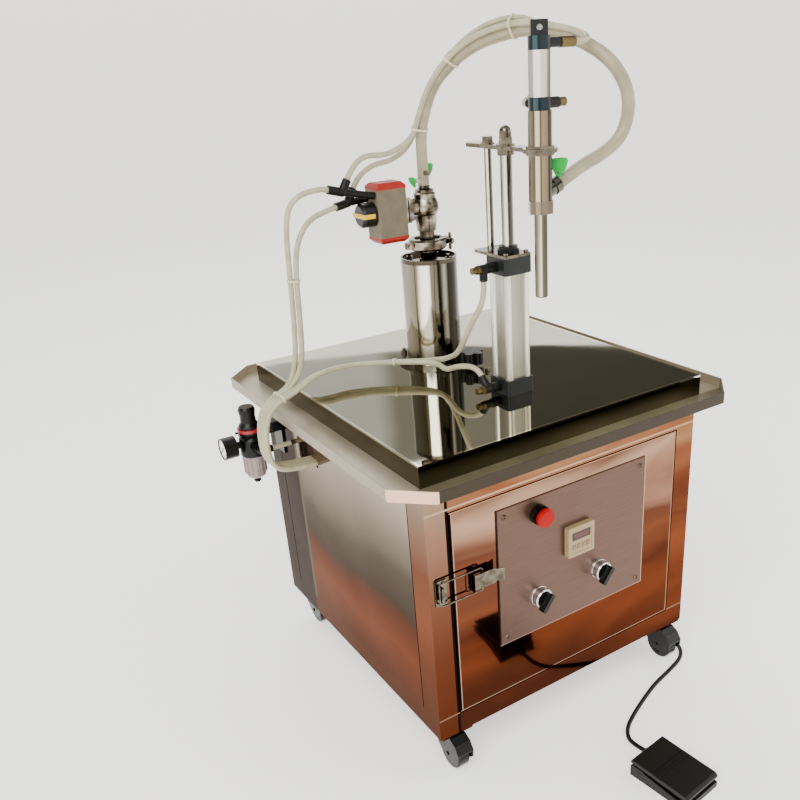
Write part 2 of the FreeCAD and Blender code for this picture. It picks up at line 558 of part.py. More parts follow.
# Air actuator with red end covers and its mounting bracket
ACT_Y0 = MY - 19.0
ACT_Y1 = MY + 19.0
ACT_Z0 = 705.0
ACT_Z1 = 773.0
act = box(ACT_X0, ACT_X1, ACT_Y0, ACT_Y1, ACT_Z0, ACT_Z1)
act = act.makeFillet(2.0, [e for e in act.Edges if abs(e.BoundBox.ZLength - (ACT_Z1 - ACT_Z0)) < 1e-6])
act = act.cut(cyl(ACT_X1 + 1, MY, VZ, STEM_R + FIT, ACT_L + 2, (-1, 0, 0)))
add("actuator_body", act)
COVER_T = 9.0
for z0, z1, flip in ((ACT_Z1, ACT_Z1 + COVER_T, 1), (ACT_Z0 - COVER_T, ACT_Z0, -1)):
    cover = box(ACT_X0, ACT_X1, ACT_Y0, ACT_Y1, z0, z1)
    outer_z = z1 if flip > 0 else z0
    edge = [e for e in cover.Edges if abs(e.BoundBox.ZMin - outer_z) < 1e-6 and abs(e.BoundBox.ZMax - outer_z) < 1e-6]
    cover = cover.makeChamfer(5.0, edge)
    add("actuator_covers", cover)
yoke = box(ACT_X1, ACT_X1 + 3, MY - 16, MY + 16, VZ - 18, VZ + 18)
yoke = yoke.fuse(box(ACT_X1, PAD_X, MY - 16, MY + 16, VZ + 15, VZ + 18))
yoke = yoke.fuse(box(ACT_X1, PAD_X, MY - 16, MY + 16, VZ - 18, VZ - 15))
yoke = yoke.fuse(box(PAD_X - 3, PAD_X, MY - 16, MY + 16, VZ - 18, VZ + 18))
yoke = yoke.cut(cyl(ACT_X1 - 1, MY, VZ, STEM_R + SEAT, 20, (1, 0, 0)))
add("product_valve", yoke.removeSplitter())

# Lift cylinder: square caps with a ribbed barrel between them
LX, LY = LIFT_X, LIFT_Y
half_cap = LIFT_CAP / 2
BOLT_OUT = half_cap - 5.5
cap_z1 = WORK_Z + LIFT_CAP_H0
for z0, z1 in ((WORK_Z, cap_z1), (LIFT_BARREL_TOP, LIFT_CAP_TOP)):
    block = box(LX - half_cap, LX + half_cap, LY - half_cap, LY + half_cap, z0, z1)
    block = block.makeFillet(3.0, [e for e in block.Edges if abs(e.BoundBox.ZLength - (z1 - z0)) < 1e-6])
    if z0 > WORK_Z:
        block = block.cut(cyl(LX, LY, z0 - 1, ROD_R + FIT, z1 - z0 + 2))
        for sx in (-1, 1):
            for sy in (-1, 1):
                block = block.cut(cyl(LX + sx * BOLT_OUT, LY + sy * BOLT_OUT, z1 - 4, 3.2, 4))
    add("lift_caps", block)
LIFT_BORE = 16.0
ridge_r = 6.5
barrel_half = half_cap - 1.5
core = box(LX - barrel_half + 3, LX + barrel_half - 3, LY - barrel_half + 3, LY + barrel_half - 3,
           cap_z1, LIFT_BARREL_TOP)
for sx in (-1, 1):
    for sy in (-1, 1):
        core = core.fuse(cyl(LX + sx * (barrel_half - ridge_r), LY + sy * (barrel_half - ridge_r), cap_z1,
                             ridge_r, LIFT_BARREL_TOP - cap_z1))
core = core.cut(cyl(LX, LY, cap_z1 - 1, LIFT_BORE, LIFT_BARREL_TOP))
add("lift_barrel", core.removeSplitter())
plate_y0 = LY - half_cap
plate_y1 = GUIDE_Y + 10
plate_z1 = LIFT_CAP_TOP + LIFT_PLATE_T
lift_plate = box(LX - half_cap, LX + half_cap, plate_y0, plate_y1, LIFT_CAP_TOP, plate_z1)
lift_plate = lift_plate.makeFillet(3.0, [e for e in lift_plate.Edges if abs(e.BoundBox.ZLength - LIFT_PLATE_T) < 1e-6])
lift_plate = lift_plate.cut(cyl(LX, LY, LIFT_CAP_TOP - 1, ROD_R + FIT, 10))
lift_plate = lift_plate.cut(cyl(LX, GUIDE_Y, LIFT_CAP_TOP - 1, GUIDE_R + FIT, 10))
bolts.append(lift_plate)
for sx in (-1, 1):
    for sy in (-1, 1):
        bolts.append(tube(LX + sx * BOLT_OUT, LY + sy * BOLT_OUT, plate_z1, 3.4, 1.7, 3.0))
bolts.append(cyl(19.0, -33.0, WORK_Z, 5.2, 1.0).fuse(polygon(19.0, -33.0, 5.0, 6, WORK_Z + 1, 4.5)))
add("worktop_fixings", *bolts)
rod_seal = tube(LX, LY, plate_z1, 13.0, ROD_R + FIT, 9.0).fuse(tube(LX, LY, plate_z1, 15.0, ROD_R + FIT, 4.0))
add("black_fittings", rod_seal.removeSplitter())

# Lifting carriage, drawn raised: piston rod, guide rod, bracket bar and nuts
rod_end = BRACKET_Z + BRACKET_T
lift_piston = cyl(LX, LY, LIFT_BARREL_TOP - 18, LIFT_BORE - FIT, 14.0)
main_rod = cyl(LX, LY, LIFT_BARREL_TOP - 18, ROD_R, rod_end + 4 - LIFT_BARREL_TOP + 18)
guide_rod = cyl(LX, GUIDE_Y, LIFT_CAP_TOP - 8, GUIDE_R, rod_end + 3 - LIFT_CAP_TOP + 8)
acorn = polygon(LX, LY, 9.6, 6, rod_end, 10.0).fuse(cyl(LX, LY, rod_end + 10, 8.0, 6.0))
acorn = acorn.fuse(Part.makeSphere(8.0, V(LX, LY, rod_end + 16)))
acorn = acorn.fuse(cyl(LX, LY, rod_end, 12.0, 1.5))
guide_nut = polygon(LX, GUIDE_Y, 8.0, 6, rod_end + 1, 8.0).fuse(cyl(LX, GUIDE_Y, rod_end, 9.5, 1.0))
under_nut = tube(LX, LY, BRACKET_Z - 7, 11.0, ROD_R, 7.0)
add("lift_rods", main_rod.fuse(lift_piston).removeSplitter(), guide_rod)
HX, HY = LIFT_X, HEAD_Y
bar_half = BRACKET_W / 2
bracket = box(LX - bar_half, LX + bar_half, HY, GUIDE_Y + 32, BRACKET_Z, rod_end)
bracket = bracket.fuse(cyl(LX, GUIDE_Y + 32, BRACKET_Z, bar_half, BRACKET_T))
bracket = bracket.fuse(cyl(HX, HY, BRACKET_Z, HEAD_TUBE_R + 7, BRACKET_T))
bracket = bracket.fuse(tube(HX, HY, BRACKET_Z - 3, HEAD_TUBE_R + 3, HEAD_TUBE_R, 11.0))
bracket = bracket.cut(cyl(HX, HY, BRACKET_Z - 5, HEAD_TUBE_R, 20))
bracket = bracket.cut(cyl(LX, LY, BRACKET_Z - 1, ROD_R, 10)).cut(cyl(LX, GUIDE_Y, BRACKET_Z - 1, GUIDE_R, 10))
acorn = acorn.cut(cyl(LX, LY, rod_end, ROD_R, 4)).removeSplitter()
guide_nut = guide_nut.cut(cyl(LX, GUIDE_Y, rod_end, GUIDE_R, 3)).removeSplitter()
add("lift_bracket", bracket.removeSplitter(), acorn, guide_nut, under_nut)

# Filling head: wetted tube, side port, hex nut and nozzle
TUBE_Z0 = BRACKET_Z - 57.0
TUBE_Z1 = BRACKET_Z + 48.0
BAND_T = 15.0
HEAD_BARREL_Z1 = TUBE_Z1 + BAND_T + 51.0
NUT_H = 16.0
nut_z = TUBE_Z0 - NUT_H
WET_BORE = 11.0
NOZZLE_BORE = 6.4
wet = tube(HX, HY, TUBE_Z0, HEAD_TUBE_R, WET_BORE, TUBE_Z1 - TUBE_Z0)
PORT_END = (HX + 40.2, HEAD_Y, TUBE_Z0 + 21.9)
port_start = V(HX, HY, TUBE_Z0 + 4.6)
port_way = V(*PORT_END).sub(port_start)
port_len = port_way.Length
port_way.normalize()
port = Part.makeCylinder(9.0, 31.0, port_start, port_way)
port = port.fuse(Part.makeCylinder(10.5, 9.0, port_start + port_way * 22, port_way))
barb = Part.makeCylinder(HOSE_BORE - FIT, port_len, port_start, port_way)
wet = wet.fuse(port.fuse(barb).cut(cyl(HX, HY, nut_z, WET_BORE + 1, 100)))
wet = wet.cut(Part.makeCylinder(3.8, port_len + 5, port_start, port_way))
for z in (BRACKET_Z + 21.0, BRACKET_Z - 19.0):
    wet = wet.cut(tube(HX, HY, z, HEAD_TUBE_R + 1, HEAD_TUBE_R - 0.4, 1.0))
nut = polygon(HX, HY, 16.8, 6, nut_z, NUT_H).cut(cyl(HX, HY, nut_z - 8, NOZZLE_BORE, 40))
nozzle = tube(HX, HY, NOZZLE_END, NOZZLE_R, NOZZLE_BORE, nut_z - NOZZLE_END)
tip_cut = ring_lathe(HX, HY, NOZZLE_R - 1.0, [(NOZZLE_R + 1, NOZZLE_END - 1), (NOZZLE_R + 1, NOZZLE_END + 2)])
nozzle = nozzle.cut(tip_cut.cut(cone(HX, HY, NOZZLE_END, NOZZLE_R - 0.9, NOZZLE_R + 0.4, 2.0)))
add("head_tube", wet.removeSplitter(), nut.fuse(nozzle).removeSplitter())
add("head_barrel", tube(HX, HY, TUBE_Z1 + BAND_T, HEAD_BARREL_R, 9.0, HEAD_BARREL_Z1 - TUBE_Z1 - BAND_T))
lower_band = cyl(HX, HY, TUBE_Z1, HEAD_BARREL_R, BAND_T).cut(cyl(HX, HY, TUBE_Z1 - 1, 3.0 + FIT, 30))
BAND_PORT_Z = TUBE_Z1 + BAND_T / 2
upper_cap = cyl(HX, HY, HEAD_BARREL_Z1, HEAD_BARREL_R, BAND_T)
block_z = HEAD_BARREL_Z1 + BAND_T
head_block = box(HX - 10, HX + 10, HY - 10, HY + 10, block_z, block_z + 17.0)
head_block = turned(head_block, (HX, HY, 0), (0, 0, 1), -34.0)
add("head_caps", lower_band, upper_cap.fuse(head_block).removeSplitter())
elbow_z = HEAD_BARREL_Z1 + 7.0
elbow = cyl(HX + 10, HY, elbow_z, 5.5, 21.0, (1, 0, 0)).cut(cyl(HX, HY, elbow_z - 12, HEAD_BARREL_R, 30))
control = cyl(HX + 10, HY, BAND_PORT_Z, 6.5, 18.0, (1, 0, 0)).cut(cyl(HX, HY, TUBE_Z1 - 9, HEAD_BARREL_R, 40))
back_port = cyl(HX, HY + 10, BAND_PORT_Z, 5.5, 12.0, (0, 1, 0)).cut(cyl(HX, HY, TUBE_Z1 - 9, HEAD_BARREL_R, 40))
add("head_fittings", elbow, control, back_port)
collet = cyl(HX + 31, HY, elbow_z, 6.2, 22.0, (1, 0, 0)).cut(cyl(HX + 45, HY, elbow_z, AIR_R, 20, (1, 0, 0)))
flow_knob = cyl(HX + 28, HY, BAND_PORT_Z, 5.2, 11.0, (1, 0, 0))
add("head_brass", collet, flow_knob)

# Plunger that opens and shuts the nozzle
PLUNGER_STROKE = 8.0
plunger = cyl(HX, HY, TUBE_Z1 + BAND_T + 4, 9.0 - FIT, 12.0)
plunger = plunger.fuse(cyl(HX, HY, NOZZLE_END + 12, 3.0, TUBE_Z1 + BAND_T + 4 - NOZZLE_END - 12))
plunger = plunger.fuse(cyl(HX, HY, NOZZLE_END + 1, NOZZLE_BORE - FIT, 7.0))
plunger = plunger.fuse(cone(HX, HY, NOZZLE_END + 8, NOZZLE_BORE - FIT, 3.0, 4.0))
add("head_plunger", plunger.removeSplitter())

# Product hose from the valve up and over to the side port of the head
HOSE_ROUTE = [(MX, MY, VZ + 31.3), (MX, MY, VZ + 89), (-1, 69, VZ + 128), (7, 48, VZ + 169), (21, 16, VZ + 202),
              (34, -14, BRACKET_Z + 132), (50, -52, BRACKET_Z + 143), (66, -89, BRACKET_Z + 145),
              (79, -119, BRACKET_Z + 139), (94, -155, BRACKET_Z + 124), (115, -187, BRACKET_Z + 101),
              (130, -203, BRACKET_Z + 71), (136, -205, BRACKET_Z + 39), (126, -202, BRACKET_Z + 7),
              (101, -196, BRACKET_Z - 11)]
HOSE_ROUTE += [tuple(port_start + port_way * 76.0), tuple(port_start + port_way * 31.3)]
hose_outer = swept(HOSE_ROUTE, HOSE_R)
hose_inner = swept(HOSE_ROUTE, HOSE_BORE)
add("product_hose", hose_outer.cut(hose_inner))


# Points beside a route, at a steady distance and turning with it
def beside(points, first, gap):
    pts = [V(*p) for p in points]
    side = V(*first)
    out = []
    for k, p in enumerate(pts):
        ahead = pts[min(k + 1, len(pts) - 1)].sub(pts[max(k - 1, 0)])
        ahead.normalize()
        side = side - ahead * side.dot(ahead)
        side.normalize()
        q = p + side * gap
        out.append((q.x, q.y, q.z))
    return out


# Point on the line from a to b, a distance beyond b
def beyond(a, b, distance):
    way = V(*b).sub(V(*a))
    way.normalize()
    return tuple(V(*b) + way * distance)


# Two air tubes from the branch fittings along the hose to the head cylinder
STRAIGHT = 16.0
hub1 = (-144.0, 76.0, 776.0)
hub2 = (-129.0, 92.0, 758.0)
A_LEAVES = (-166.0, 75.0, 782.0)
B_LEAVES = (-150.0, 88.0, 755.0)
ALONG = HOSE_R + AIR_R + 1.0
E_LEAVES = (-134.0, 76.0, 792.0)
F_LEAVES = (-118.0, 92.0, 777.0)
E_ENTERS = (HX + 45, HEAD_Y, elbow_z)
F_ENTERS = (HX, HEAD_Y + 22, BAND_PORT_Z)
e_side = beside(HOSE_ROUTE[2:7], (-1.0, -0.15, 0.0), ALONG)
f_side = beside(HOSE_ROUTE[2:5], (-0.35, -0.94, 0.0), ALONG)
E_ROUTE = [E_LEAVES, beyond(hub1, E_LEAVES, STRAIGHT), (-100, 79, 820), (-60, 80, 820), (-28, 80, 840)] + e_side
E_ROUTE += [(66, -99, BRACKET_Z + 159), (84, -130, BRACKET_Z + 157), (97, -166, BRACKET_Z + 141),
            (84, HEAD_Y, elbow_z), E_ENTERS]
F_ROUTE = [F_LEAVES, beyond(hub2, F_LEAVES, STRAIGHT), (-84, 88, 806), (-48, 76, 808), (-20, 66, 832)] + f_side
F_ROUTE += [(36, -50, BRACKET_Z + 117), (42, -104, BRACKET_Z + 115), (22, -140, BRACKET_Z + 94),
            (HX, -152, BAND_PORT_Z), F_ENTERS]
add("head_air_tubes", swept(E_ROUTE, AIR_R, 26.0), swept(F_ROUTE, AIR_R, 26.0))

# Four air tubes from the side slot over the tray lip
ENTRY_X = manifold_x


def over_lip(y):
    return [(ENTRY_X, y, TUBE_SLOT_Z), (-288, y, 384), (-312, y, 405), (-313, y, 455), (-299, y, 492), (-256, y, 506)]


tube_y = [TUBE_SLOT_Y + (1.5 - k) * TUBE_PITCH for k in range(4)]
A_ROUTE = over_lip(tube_y[0]) + [(-243, 87, 540), (-236, 83.5, 673), (-232, 82, 748), (-218, 79, 777),
                                 beyond(hub1, A_LEAVES, STRAIGHT), A_LEAVES]
B_ROUTE = over_lip(tube_y[1]) + [(-234, 79.5, 540), (-228, 78.5, 673), (-221, 79, 715), (-200, 80, 744),
                                 beyond(hub2, B_LEAVES, STRAIGHT), B_LEAVES]
hub_x = LX - half_cap - 20
low_z = WORK_Z + 11.5
top_z = LIFT_BARREL_TOP + 10.5
top_port = (hub_x, LY, top_z - 16)
low_port = (hub_x, LY + 14, low_z + 15)
C_ROUTE = over_lip(tube_y[2]) + [(-217, 79, 522), (-150, 84, 521), (-48, 9, 522), (-50, -38, 539),
                                 (-64, -84, 562), (-58, -112, 612), (top_port[0], LY, 640), top_port]
D_ROUTE = over_lip(tube_y[3]) + [(-222, 69, 525), (-157, 75, 525), (-55, 1, 525), (-60, -40, 521),
                                 (-62, -74, 538),
                                 beyond((hub_x, LY, low_z), low_port, STRAIGHT), low_port]
add("air_tubes", *[swept(r, AIR_R, 30.0) for r in (A_ROUTE, B_ROUTE, C_ROUTE, D_ROUTE)])
feed_x = -272.0
feed = cyl(feed_x, FEED_Y, FRL_Z, AIR_R, 46.0, (1, 0, 0))
add("air_tubes", feed)


# Tie band: the tight outline round a few tubes at one place
def tie(centres, radii, way, origin):
    t = V(*way)
    t.normalize()
    u = t.cross(V(0.3, 0.9, 0.31))
    u.normalize()
    w = t.cross(u)
    flat = []
    for c, r in zip(centres, radii):
        d = V(*c).sub(V(*origin))
        cx, cy = d.dot(u), d.dot(w)
        for k in range(16):
            a = 2 * math.pi * k / 16
            flat.append((round(cx + (r + 0.25) * math.cos(a), 4), round(cy + (r + 0.25) * math.sin(a), 4)))
    flat = sorted(set(flat))
    hull = []
    for pts in (flat, flat[::-1]):
        part = []
        for p in pts:
            while len(part) > 1 and ((part[-1][0] - part[-2][0]) * (p[1] - part[-2][1])
                                     - (part[-1][1] - part[-2][1]) * (p[0] - part[-2][0])) <= 0:
                part.pop()
            part.append(p)
        hull += part[:-1]
    loop = [V(*origin) + u * a + w * b - t * 1.75 for a, b in hull]
    wire = Part.makePolygon(loop + [loop[0]])
    outer = wire.makeOffset2D(1.1)
    if Part.Face(outer).Area < Part.Face(wire).Area:
        outer = wire.makeOffset2D(-1.1)
    return Part.Face(outer).extrude(t * 3.5).cut(Part.Face(wire).extrude(t * 3.5))


def at_height(points, z):
    for a, b in zip(points, points[1:]):
        if min(a[2], b[2]) <= z <= max(a[2], b[2]) and a[2] != b[2]:
            s = (z - a[2]) / (b[2] - a[2])
            return tuple(a[k] + s * (b[k] - a[k]) for k in range(3))


pair = [at_height(A_ROUTE[6:], 664.0), at_height(B_ROUTE[6:], 664.0)]
add("air_tubes", tie(pair, [AIR_R, AIR_R], (0.045, 0, 1), pair[0]))
four = [(-277.5, y, 499.0) for y in tube_y]
add("air_tubes", tie(four, [AIR_R] * 4, (43, 0, 14), four[0]))
cross = [(-99, 46.5, 521.5), (-106, 38, 525)]
add("air_tubes", tie(cross, [AIR_R, AIR_R], (102, -75, 1), cross[0]))


def along(points, k):
    a, b = V(*points[k]), V(*points[k + 1])
    mid = (a + b) * 0.5
    return (mid.x, mid.y, mid.z), b.sub(a)


for k in (2, 3, 5):
    hose_mid, way = along(HOSE_ROUTE, k)
    tubes = [along(side, k - 2)[0] for side in (e_side, f_side) if k - 1 < len(side)]
    add("head_air_tubes", tie([hose_mid] + tubes, [HOSE_R] + [AIR_R] * len(tubes), tuple(way), hose_mid))

# Branch fittings that feed both ends of the actuator
def leg(a, b, r):
    d = V(*b).sub(V(*a))
    return Part.makeCylinder(r, d.Length, V(*a), d)


y1 = fused(leg(hub1, A_LEAVES, 6.2), leg(hub1, E_LEAVES, 6.2), leg(hub1, (ACT_X0, MY - 10, 766.0), 5.0),
           Part.makeSphere(6.2, V(*hub1)))
y2 = fused(leg(hub2, B_LEAVES, 6.2), leg(hub2, F_LEAVES, 6.2), leg(hub2, (ACT_X0, MY + 14, 760.0), 5.0),
           Part.makeSphere(6.2, V(*hub2)))
act_face = box(ACT_X0, ACT_X1, ACT_Y0, ACT_Y1, ACT_Z0, ACT_Z1)
add("black_fittings", y1.cut(act_face), y2.cut(act_face))

# Flow controls on the left faces of the lift cylinder caps
face_x = LX - half_cap
for z, port in ((top_z, top_port), (low_z, low_port)):
    fitting = fused(cyl(face_x, LY, z, 7.2, 14.0, (-1, 0, 0)), cyl(face_x - 12, LY, z, 6.2, 14.0, (-1, 0, 0)),
                    leg((hub_x, LY, z), port, 5.8))
    add("black_fittings", fitting)
    knob = hexagon(face_x - 26, LY, z, 6.2, 6.0, (-1, 0, 0))
    add("brass_fittings", knob.fuse(cyl(face_x - 32, LY, z, 4.6, 7.0, (-1, 0, 0))).removeSplitter())

# Hose clamps with their thumb screws
clamp_low = ring_lathe(MX, MY, HOSE_R, [(HOSE_R + 1.2, 773.0), (HOSE_R + 1.2, 781.0)])
clamp_high = ring_lathe(MX, MY, HOSE_R, [(HOSE_R + 1.2, 784.0), (HOSE_R + 1.2, 792.0)])
add("product_valve", clamp_low.fuse(box(MX - 14, MX - 7.4, MY - 4, MY + 4, 774, 780)).cut(
    cyl(MX, MY, 770, HOSE_R, 30)))
add("product_valve", clamp_high.fuse(box(MX - 4, MX + 4, MY - 14, MY - 7.4, 785, 791)).cut(
    cyl(MX, MY, 770, HOSE_R, 30)))
add("clamp_wings", box(MX - 24, MX - 14, MY - 1.2, MY + 1.2, 771.5, 782.5),
    box(MX - 1.2, MX + 1.2, MY - 24, MY - 14, 782.5, 793.5))
ring_start = port_start + port_way * 33.0
head_clamp = Part.makeCylinder(HOSE_R + 1.2, 8.0, ring_start, port_way)
screw_box = box(-3.5, 3.5, -3.5, 3.5, 7.4, 14.0)
screw_box.Placement = FreeCAD.Placement(ring_start + port_way * 4, FreeCAD.Rotation(V(0, 1, 0), -23.3))
head_clamp = head_clamp.fuse(screw_box).cut(Part.makeCylinder(HOSE_R, 20.0, ring_start - port_way * 4, port_way))
add("head_tube", head_clamp.removeSplitter())
head_wing = box(-5.5, 5.5, -1.2, 1.2, 14.0, 24.0)
head_wing.Placement = screw_box.Placement
add("head_wing", head_wing)

# Filter regulator on its bracket at the left side
RX = -290.0
RY = FRL_Y
bracket_z = 401.0
frl = lathe(RX, RY, [(18.5, 366.0), (20.0, 368.0), (20.0, 396.0), (17.0, 400.0), (14.0, 401.0),
                     (14.0, 404.5), (19.0, 405.5), (19.0, 409.0)])
frl = frl.fuse(cyl(RX, RY - 26, FRL_Z, 9.5, 52.0, (0, 1, 0)))
frl = frl.fuse(cyl(RX - 18, RY, FRL_Z + 2, 6.0, 10.0, (-1, 0, 0)))
frl = frl.cut(cyl(RX, RY, 414 - 40, 4.0 + FIT, 60))
frl = frl.cut(cyl(RX, RY + 15, FRL_Z, 5.0, 15.0, (0, 1, 0)))
add("frl_body", frl.removeSplitter())
arm = box(RX - 20, LEFT, RY - 17, RY + 17, bracket_z, bracket_z + 3)
arm = arm.fuse(box(LEFT - 3, LEFT, RY - 17, RY + 17, bracket_z - 42, bracket_z + 3))
arm = arm.cut(cyl(RX, RY, bracket_z - 1, 14.0, 5)).cut(box(RX - 30, RX, RY - 14, RY + 14, bracket_z - 1, bracket_z + 4))
add("frl_body", arm.removeSplitter())
case_x = RX - 28.0
case = cyl(case_x, RY, FRL_Z + 2, 18.0, 22.0, (-1, 0, 0)).cut(cyl(case_x - 19.5, RY, FRL_Z + 2, 16.6, 5, (-1, 0, 0)))
case = case.cut(cyl(case_x - 12, RY, FRL_Z + 2, 1.2 + FIT, 12, (-1, 0, 0)))
add("frl_body", case)
dial_plate = cyl(case_x - 19.5, RY, FRL_Z + 2, 16.55, 0.6, (-1, 0, 0)).cut(
    cyl(case_x - 15, RY, FRL_Z + 2, 1.2 + FIT, 12, (-1, 0, 0)))
add("gauge_dial", dial_plate)
needle = cyl(case_x - 14, RY, FRL_Z + 2, 1.2, 7.2, (-1, 0, 0))
needle = needle.fuse(box(case_x - 21.2, case_x - 20.4, RY - 0.7, RY + 0.7, FRL_Z - 3, FRL_Z + 14))
add("gauge_needle", turned(needle, (0, RY, FRL_Z + 2), (1, 0, 0), -135.0))
add("frl_ring", ring_lathe(RX, RY, 14.0, [(19.6, 409.0), (19.6, 414.0)]))
knob = ring_lathe(RX, RY, 4.0, [(17.0, 414.3), (17.0, 418.0), (13.0, 424.0), (12.2, 434.0), (13.4, 441.0),
                                (13.6, 446.0), (11.5, 450.0)])
knob = knob.fuse(cyl(RX, RY, 380.0, 4.0, 70.0))
for k in range(12):
    a = 2 * math.pi * k / 12
    knob = knob.cut(cyl(RX + 14.2 * math.cos(a), RY + 14.2 * math.sin(a), 426.0, 1.3, 30))
add("frl_knob", knob.removeSplitter())
bowl = lathe(RX, RY, [(10.0, 325.0), (15.0, 329.0), (17.0, 336.0), (17.5, 366.0)])
bowl = bowl.cut(cyl(RX, RY, 320.0, 4.0, 10.0))
bowl = bowl.cut(lathe(RX, RY, [(8.0, 327.5), (13.0, 331.0), (15.0, 337.0), (15.5, 367.0)]))
for k in range(8):
    a = 2 * math.pi * k / 8
    rib = cyl(RX + 17.2 * math.cos(a), RY + 17.2 * math.sin(a), 338.0, 1.1, 28.0)
    bowl = bowl.fuse(rib.cut(cyl(RX, RY, 330, 16.5, 40)))
add("frl_bowl", bowl.removeSplitter())
drain = cyl(RX, RY, 316.0, 4.0, 11.5).fuse(cyl(RX, RY, 318.0, 6.0, 3.0)).cut(cyl(RX, RY, 315, 1.5, 8))
add("frl_body", drain)
out_fit = fused(cyl(RX, RY - 26, FRL_Z, 7.5, 9.0, (0, -1, 0)), leg((RX, RY - 34, FRL_Z), (RX, FEED_Y, FRL_Z), 6.2),
                Part.makeSphere(6.2, V(RX, FEED_Y, FRL_Z)), leg((RX, FEED_Y, FRL_Z), (feed_x, FEED_Y, FRL_Z), 6.2))
add("black_fittings", out_fit)
inlet = fused(hexagon(RX, RY + 26, FRL_Z, 8.5, 7.0, (0, 1, 0)), cyl(RX, RY + 33, FRL_Z, 6.6, 12.0, (0, 1, 0)))
inlet = inlet.cut(cyl(RX, RY + 30, FRL_Z, AIR_R + FIT, 16, (0, 1, 0))).cut(cyl(RX, RY + 20, FRL_Z, 2.6, 16, (0, 1, 0)))
add("brass_fittings", inlet)

# Star knob on its stud in front of the metering cylinder
bush = tube(KNOB_X, KNOB_Y, WORK_Z, 9.0, 4.0 + FIT, 6.5).fuse(
    tube(KNOB_X, KNOB_Y, WORK_Z - WORK_T - 8, 5.0, 4.0 + FIT, WORK_T + 8))
add("black_fittings", bush.removeSplitter())
star_z = WORK_Z + 6.5 + SEAT
star = cyl(KNOB_X, KNOB_Y, star_z, 13.0, 18.0)
for k in range(5):
    a = 2 * math.pi * k / 5
    star = star.fuse(cyl(KNOB_X + 13.5 * math.cos(a), KNOB_Y + 13.5 * math.sin(a), star_z, 6.5, 18.0))
star = star.fuse(cyl(KNOB_X, KNOB_Y, star_z - 14, 4.0, 14.0))
add("star_knob", star.removeSplitter())

# Four swivel castors
PLATE_HALF = 26.0
for name, sx, sy in (("front_left", -1, -1), ("front_right", 1, -1), ("back_left", -1, 1), ("back_right", 1, 1)):
    cx, cy = sx * CASTER_X, sy * CASTER_Y
    top = box(cx - PLATE_HALF, cx + PLATE_HALF, cy - PLATE_HALF, cy + PLATE_HALF, FLOOR_GAP - 3, FLOOR_GAP)
    add("cabinet_frame", top.cut(cyl(cx, cy, FLOOR_GAP - 4, 4.0 + FIT, 6)))
    ay = cy - TRAIL
    hood = [(cy + 17, 58.0), (ay - 10, 58.0), (ay - 22, 52.0), (ay - 30, 40.0), (ay - 29, 27.0),
            (ay - 13, 14.0), (ay + 6, 14.0), (cy + 8, 30.0), (cy + 17, 48.0)]
    outer = WHEEL_W / 2 + SEAT + 3
    loop = [V(cx - outer, y, z) for y, z in hood]
    fork = Part.Face(Part.makePolygon(loop + [loop[0]])).extrude(V(2 * outer, 0, 0))
    gap = WHEEL_W / 2 + SEAT
    fork = fork.cut(cyl(cx - gap, ay, WHEEL_R, WHEEL_R + 2, 2 * gap, (1, 0, 0)))
    fork = fork.cut(box(cx - gap, cx + gap, ay - 40, ay + WHEEL_R + 2, 0, WHEEL_R))
    fork = fork.cut(box(cx - gap, cx + gap, ay - 60, ay, 0, WHEEL_R + 12))
    fork = fork.fuse(cyl(cx, cy, 56.0, 17.0, FLOOR_GAP - 3 - SEAT - 56.0)).fuse(cyl(cx, cy, 58.0, 4.0, 6.5))
    fork = fork.fuse(cyl(cx - outer - 1.5, ay, WHEEL_R, 3.0, 2 * outer + 3, (1, 0, 0)))
    add("caster_fork_" + name, fork.removeSplitter())
    wheel = cyl(cx - WHEEL_W / 2, ay, WHEEL_R, WHEEL_R, WHEEL_W, (1, 0, 0))
    rim_edges = [e for e in wheel.Edges if abs(e.BoundBox.ZLength - 2 * WHEEL_R) < 0.1 and e.BoundBox.XLength < 0.1]
    wheel = wheel.makeFillet(2.5, rim_edges)
    for side in (-1, 1):
        x0 = cx + side * (WHEEL_W / 2 - 2) if side > 0 else cx - WHEEL_W / 2
        wheel = wheel.cut(tube(x0, ay, WHEEL_R, 17.0, 7.0, 2.0, (1, 0, 0)))
    wheel = wheel.cut(cyl(cx - 20, ay, WHEEL_R, 3.0 + FIT, 40, (1, 0, 0)))
    add("caster_wheel_" + name, wheel)

# Foot switch: base tray and hinged treadle, turned a little on the floor
PEDAL_C = (17.0, -457.0)
PEDAL_L = 97.0
PEDAL_W = 70.0
PEDAL_TURN = 6.5
PEDAL_H = 28.0
pl, pw = PEDAL_L / 2, PEDAL_W / 2
base_pts = [(-pl, 0), (pl, 0), (pl, 17.0), (pl - 6, 19.0), (-pl, 9.0)]
loop = [V(-pw, y, z) for y, z in base_pts]
pedal_tray = Part.Face(Part.makePolygon(loop + [loop[0]])).extrude(V(PEDAL_W, 0, 0))
pedal_tray = pedal_tray.cut(box(-pw + 3, pw - 3, -pl + 3, pl - 9, 3, 30))
for s in (-1, 1):
    ear = box(s * (pw - 3) - 3, s * (pw - 3) + 3, pl - 22, pl - 10, 3, 19)
    pedal_tray = pedal_tray.fuse(ear)
HINGE_Y, HINGE_Z = pl - 16.0, 13.5
pedal_tray = pedal_tray.cut(cyl(-60, HINGE_Y, HINGE_Z, 2.0 + FIT, 120, (1, 0, 0)))
treadle_pts = [(-pl, 21.5), (-pl + 4, 25.0), (pl - 26, 27.0), (pl - 2, PEDAL_H), (pl, 26.0), (pl, 22.0),
               (-pl, 17.5)]
loop = [V(-pw + 0.5, y, z) for y, z in treadle_pts]
pedal_top = Part.Face(Part.makePolygon(loop + [loop[0]])).extrude(V(PEDAL_W - 1, 0, 0))
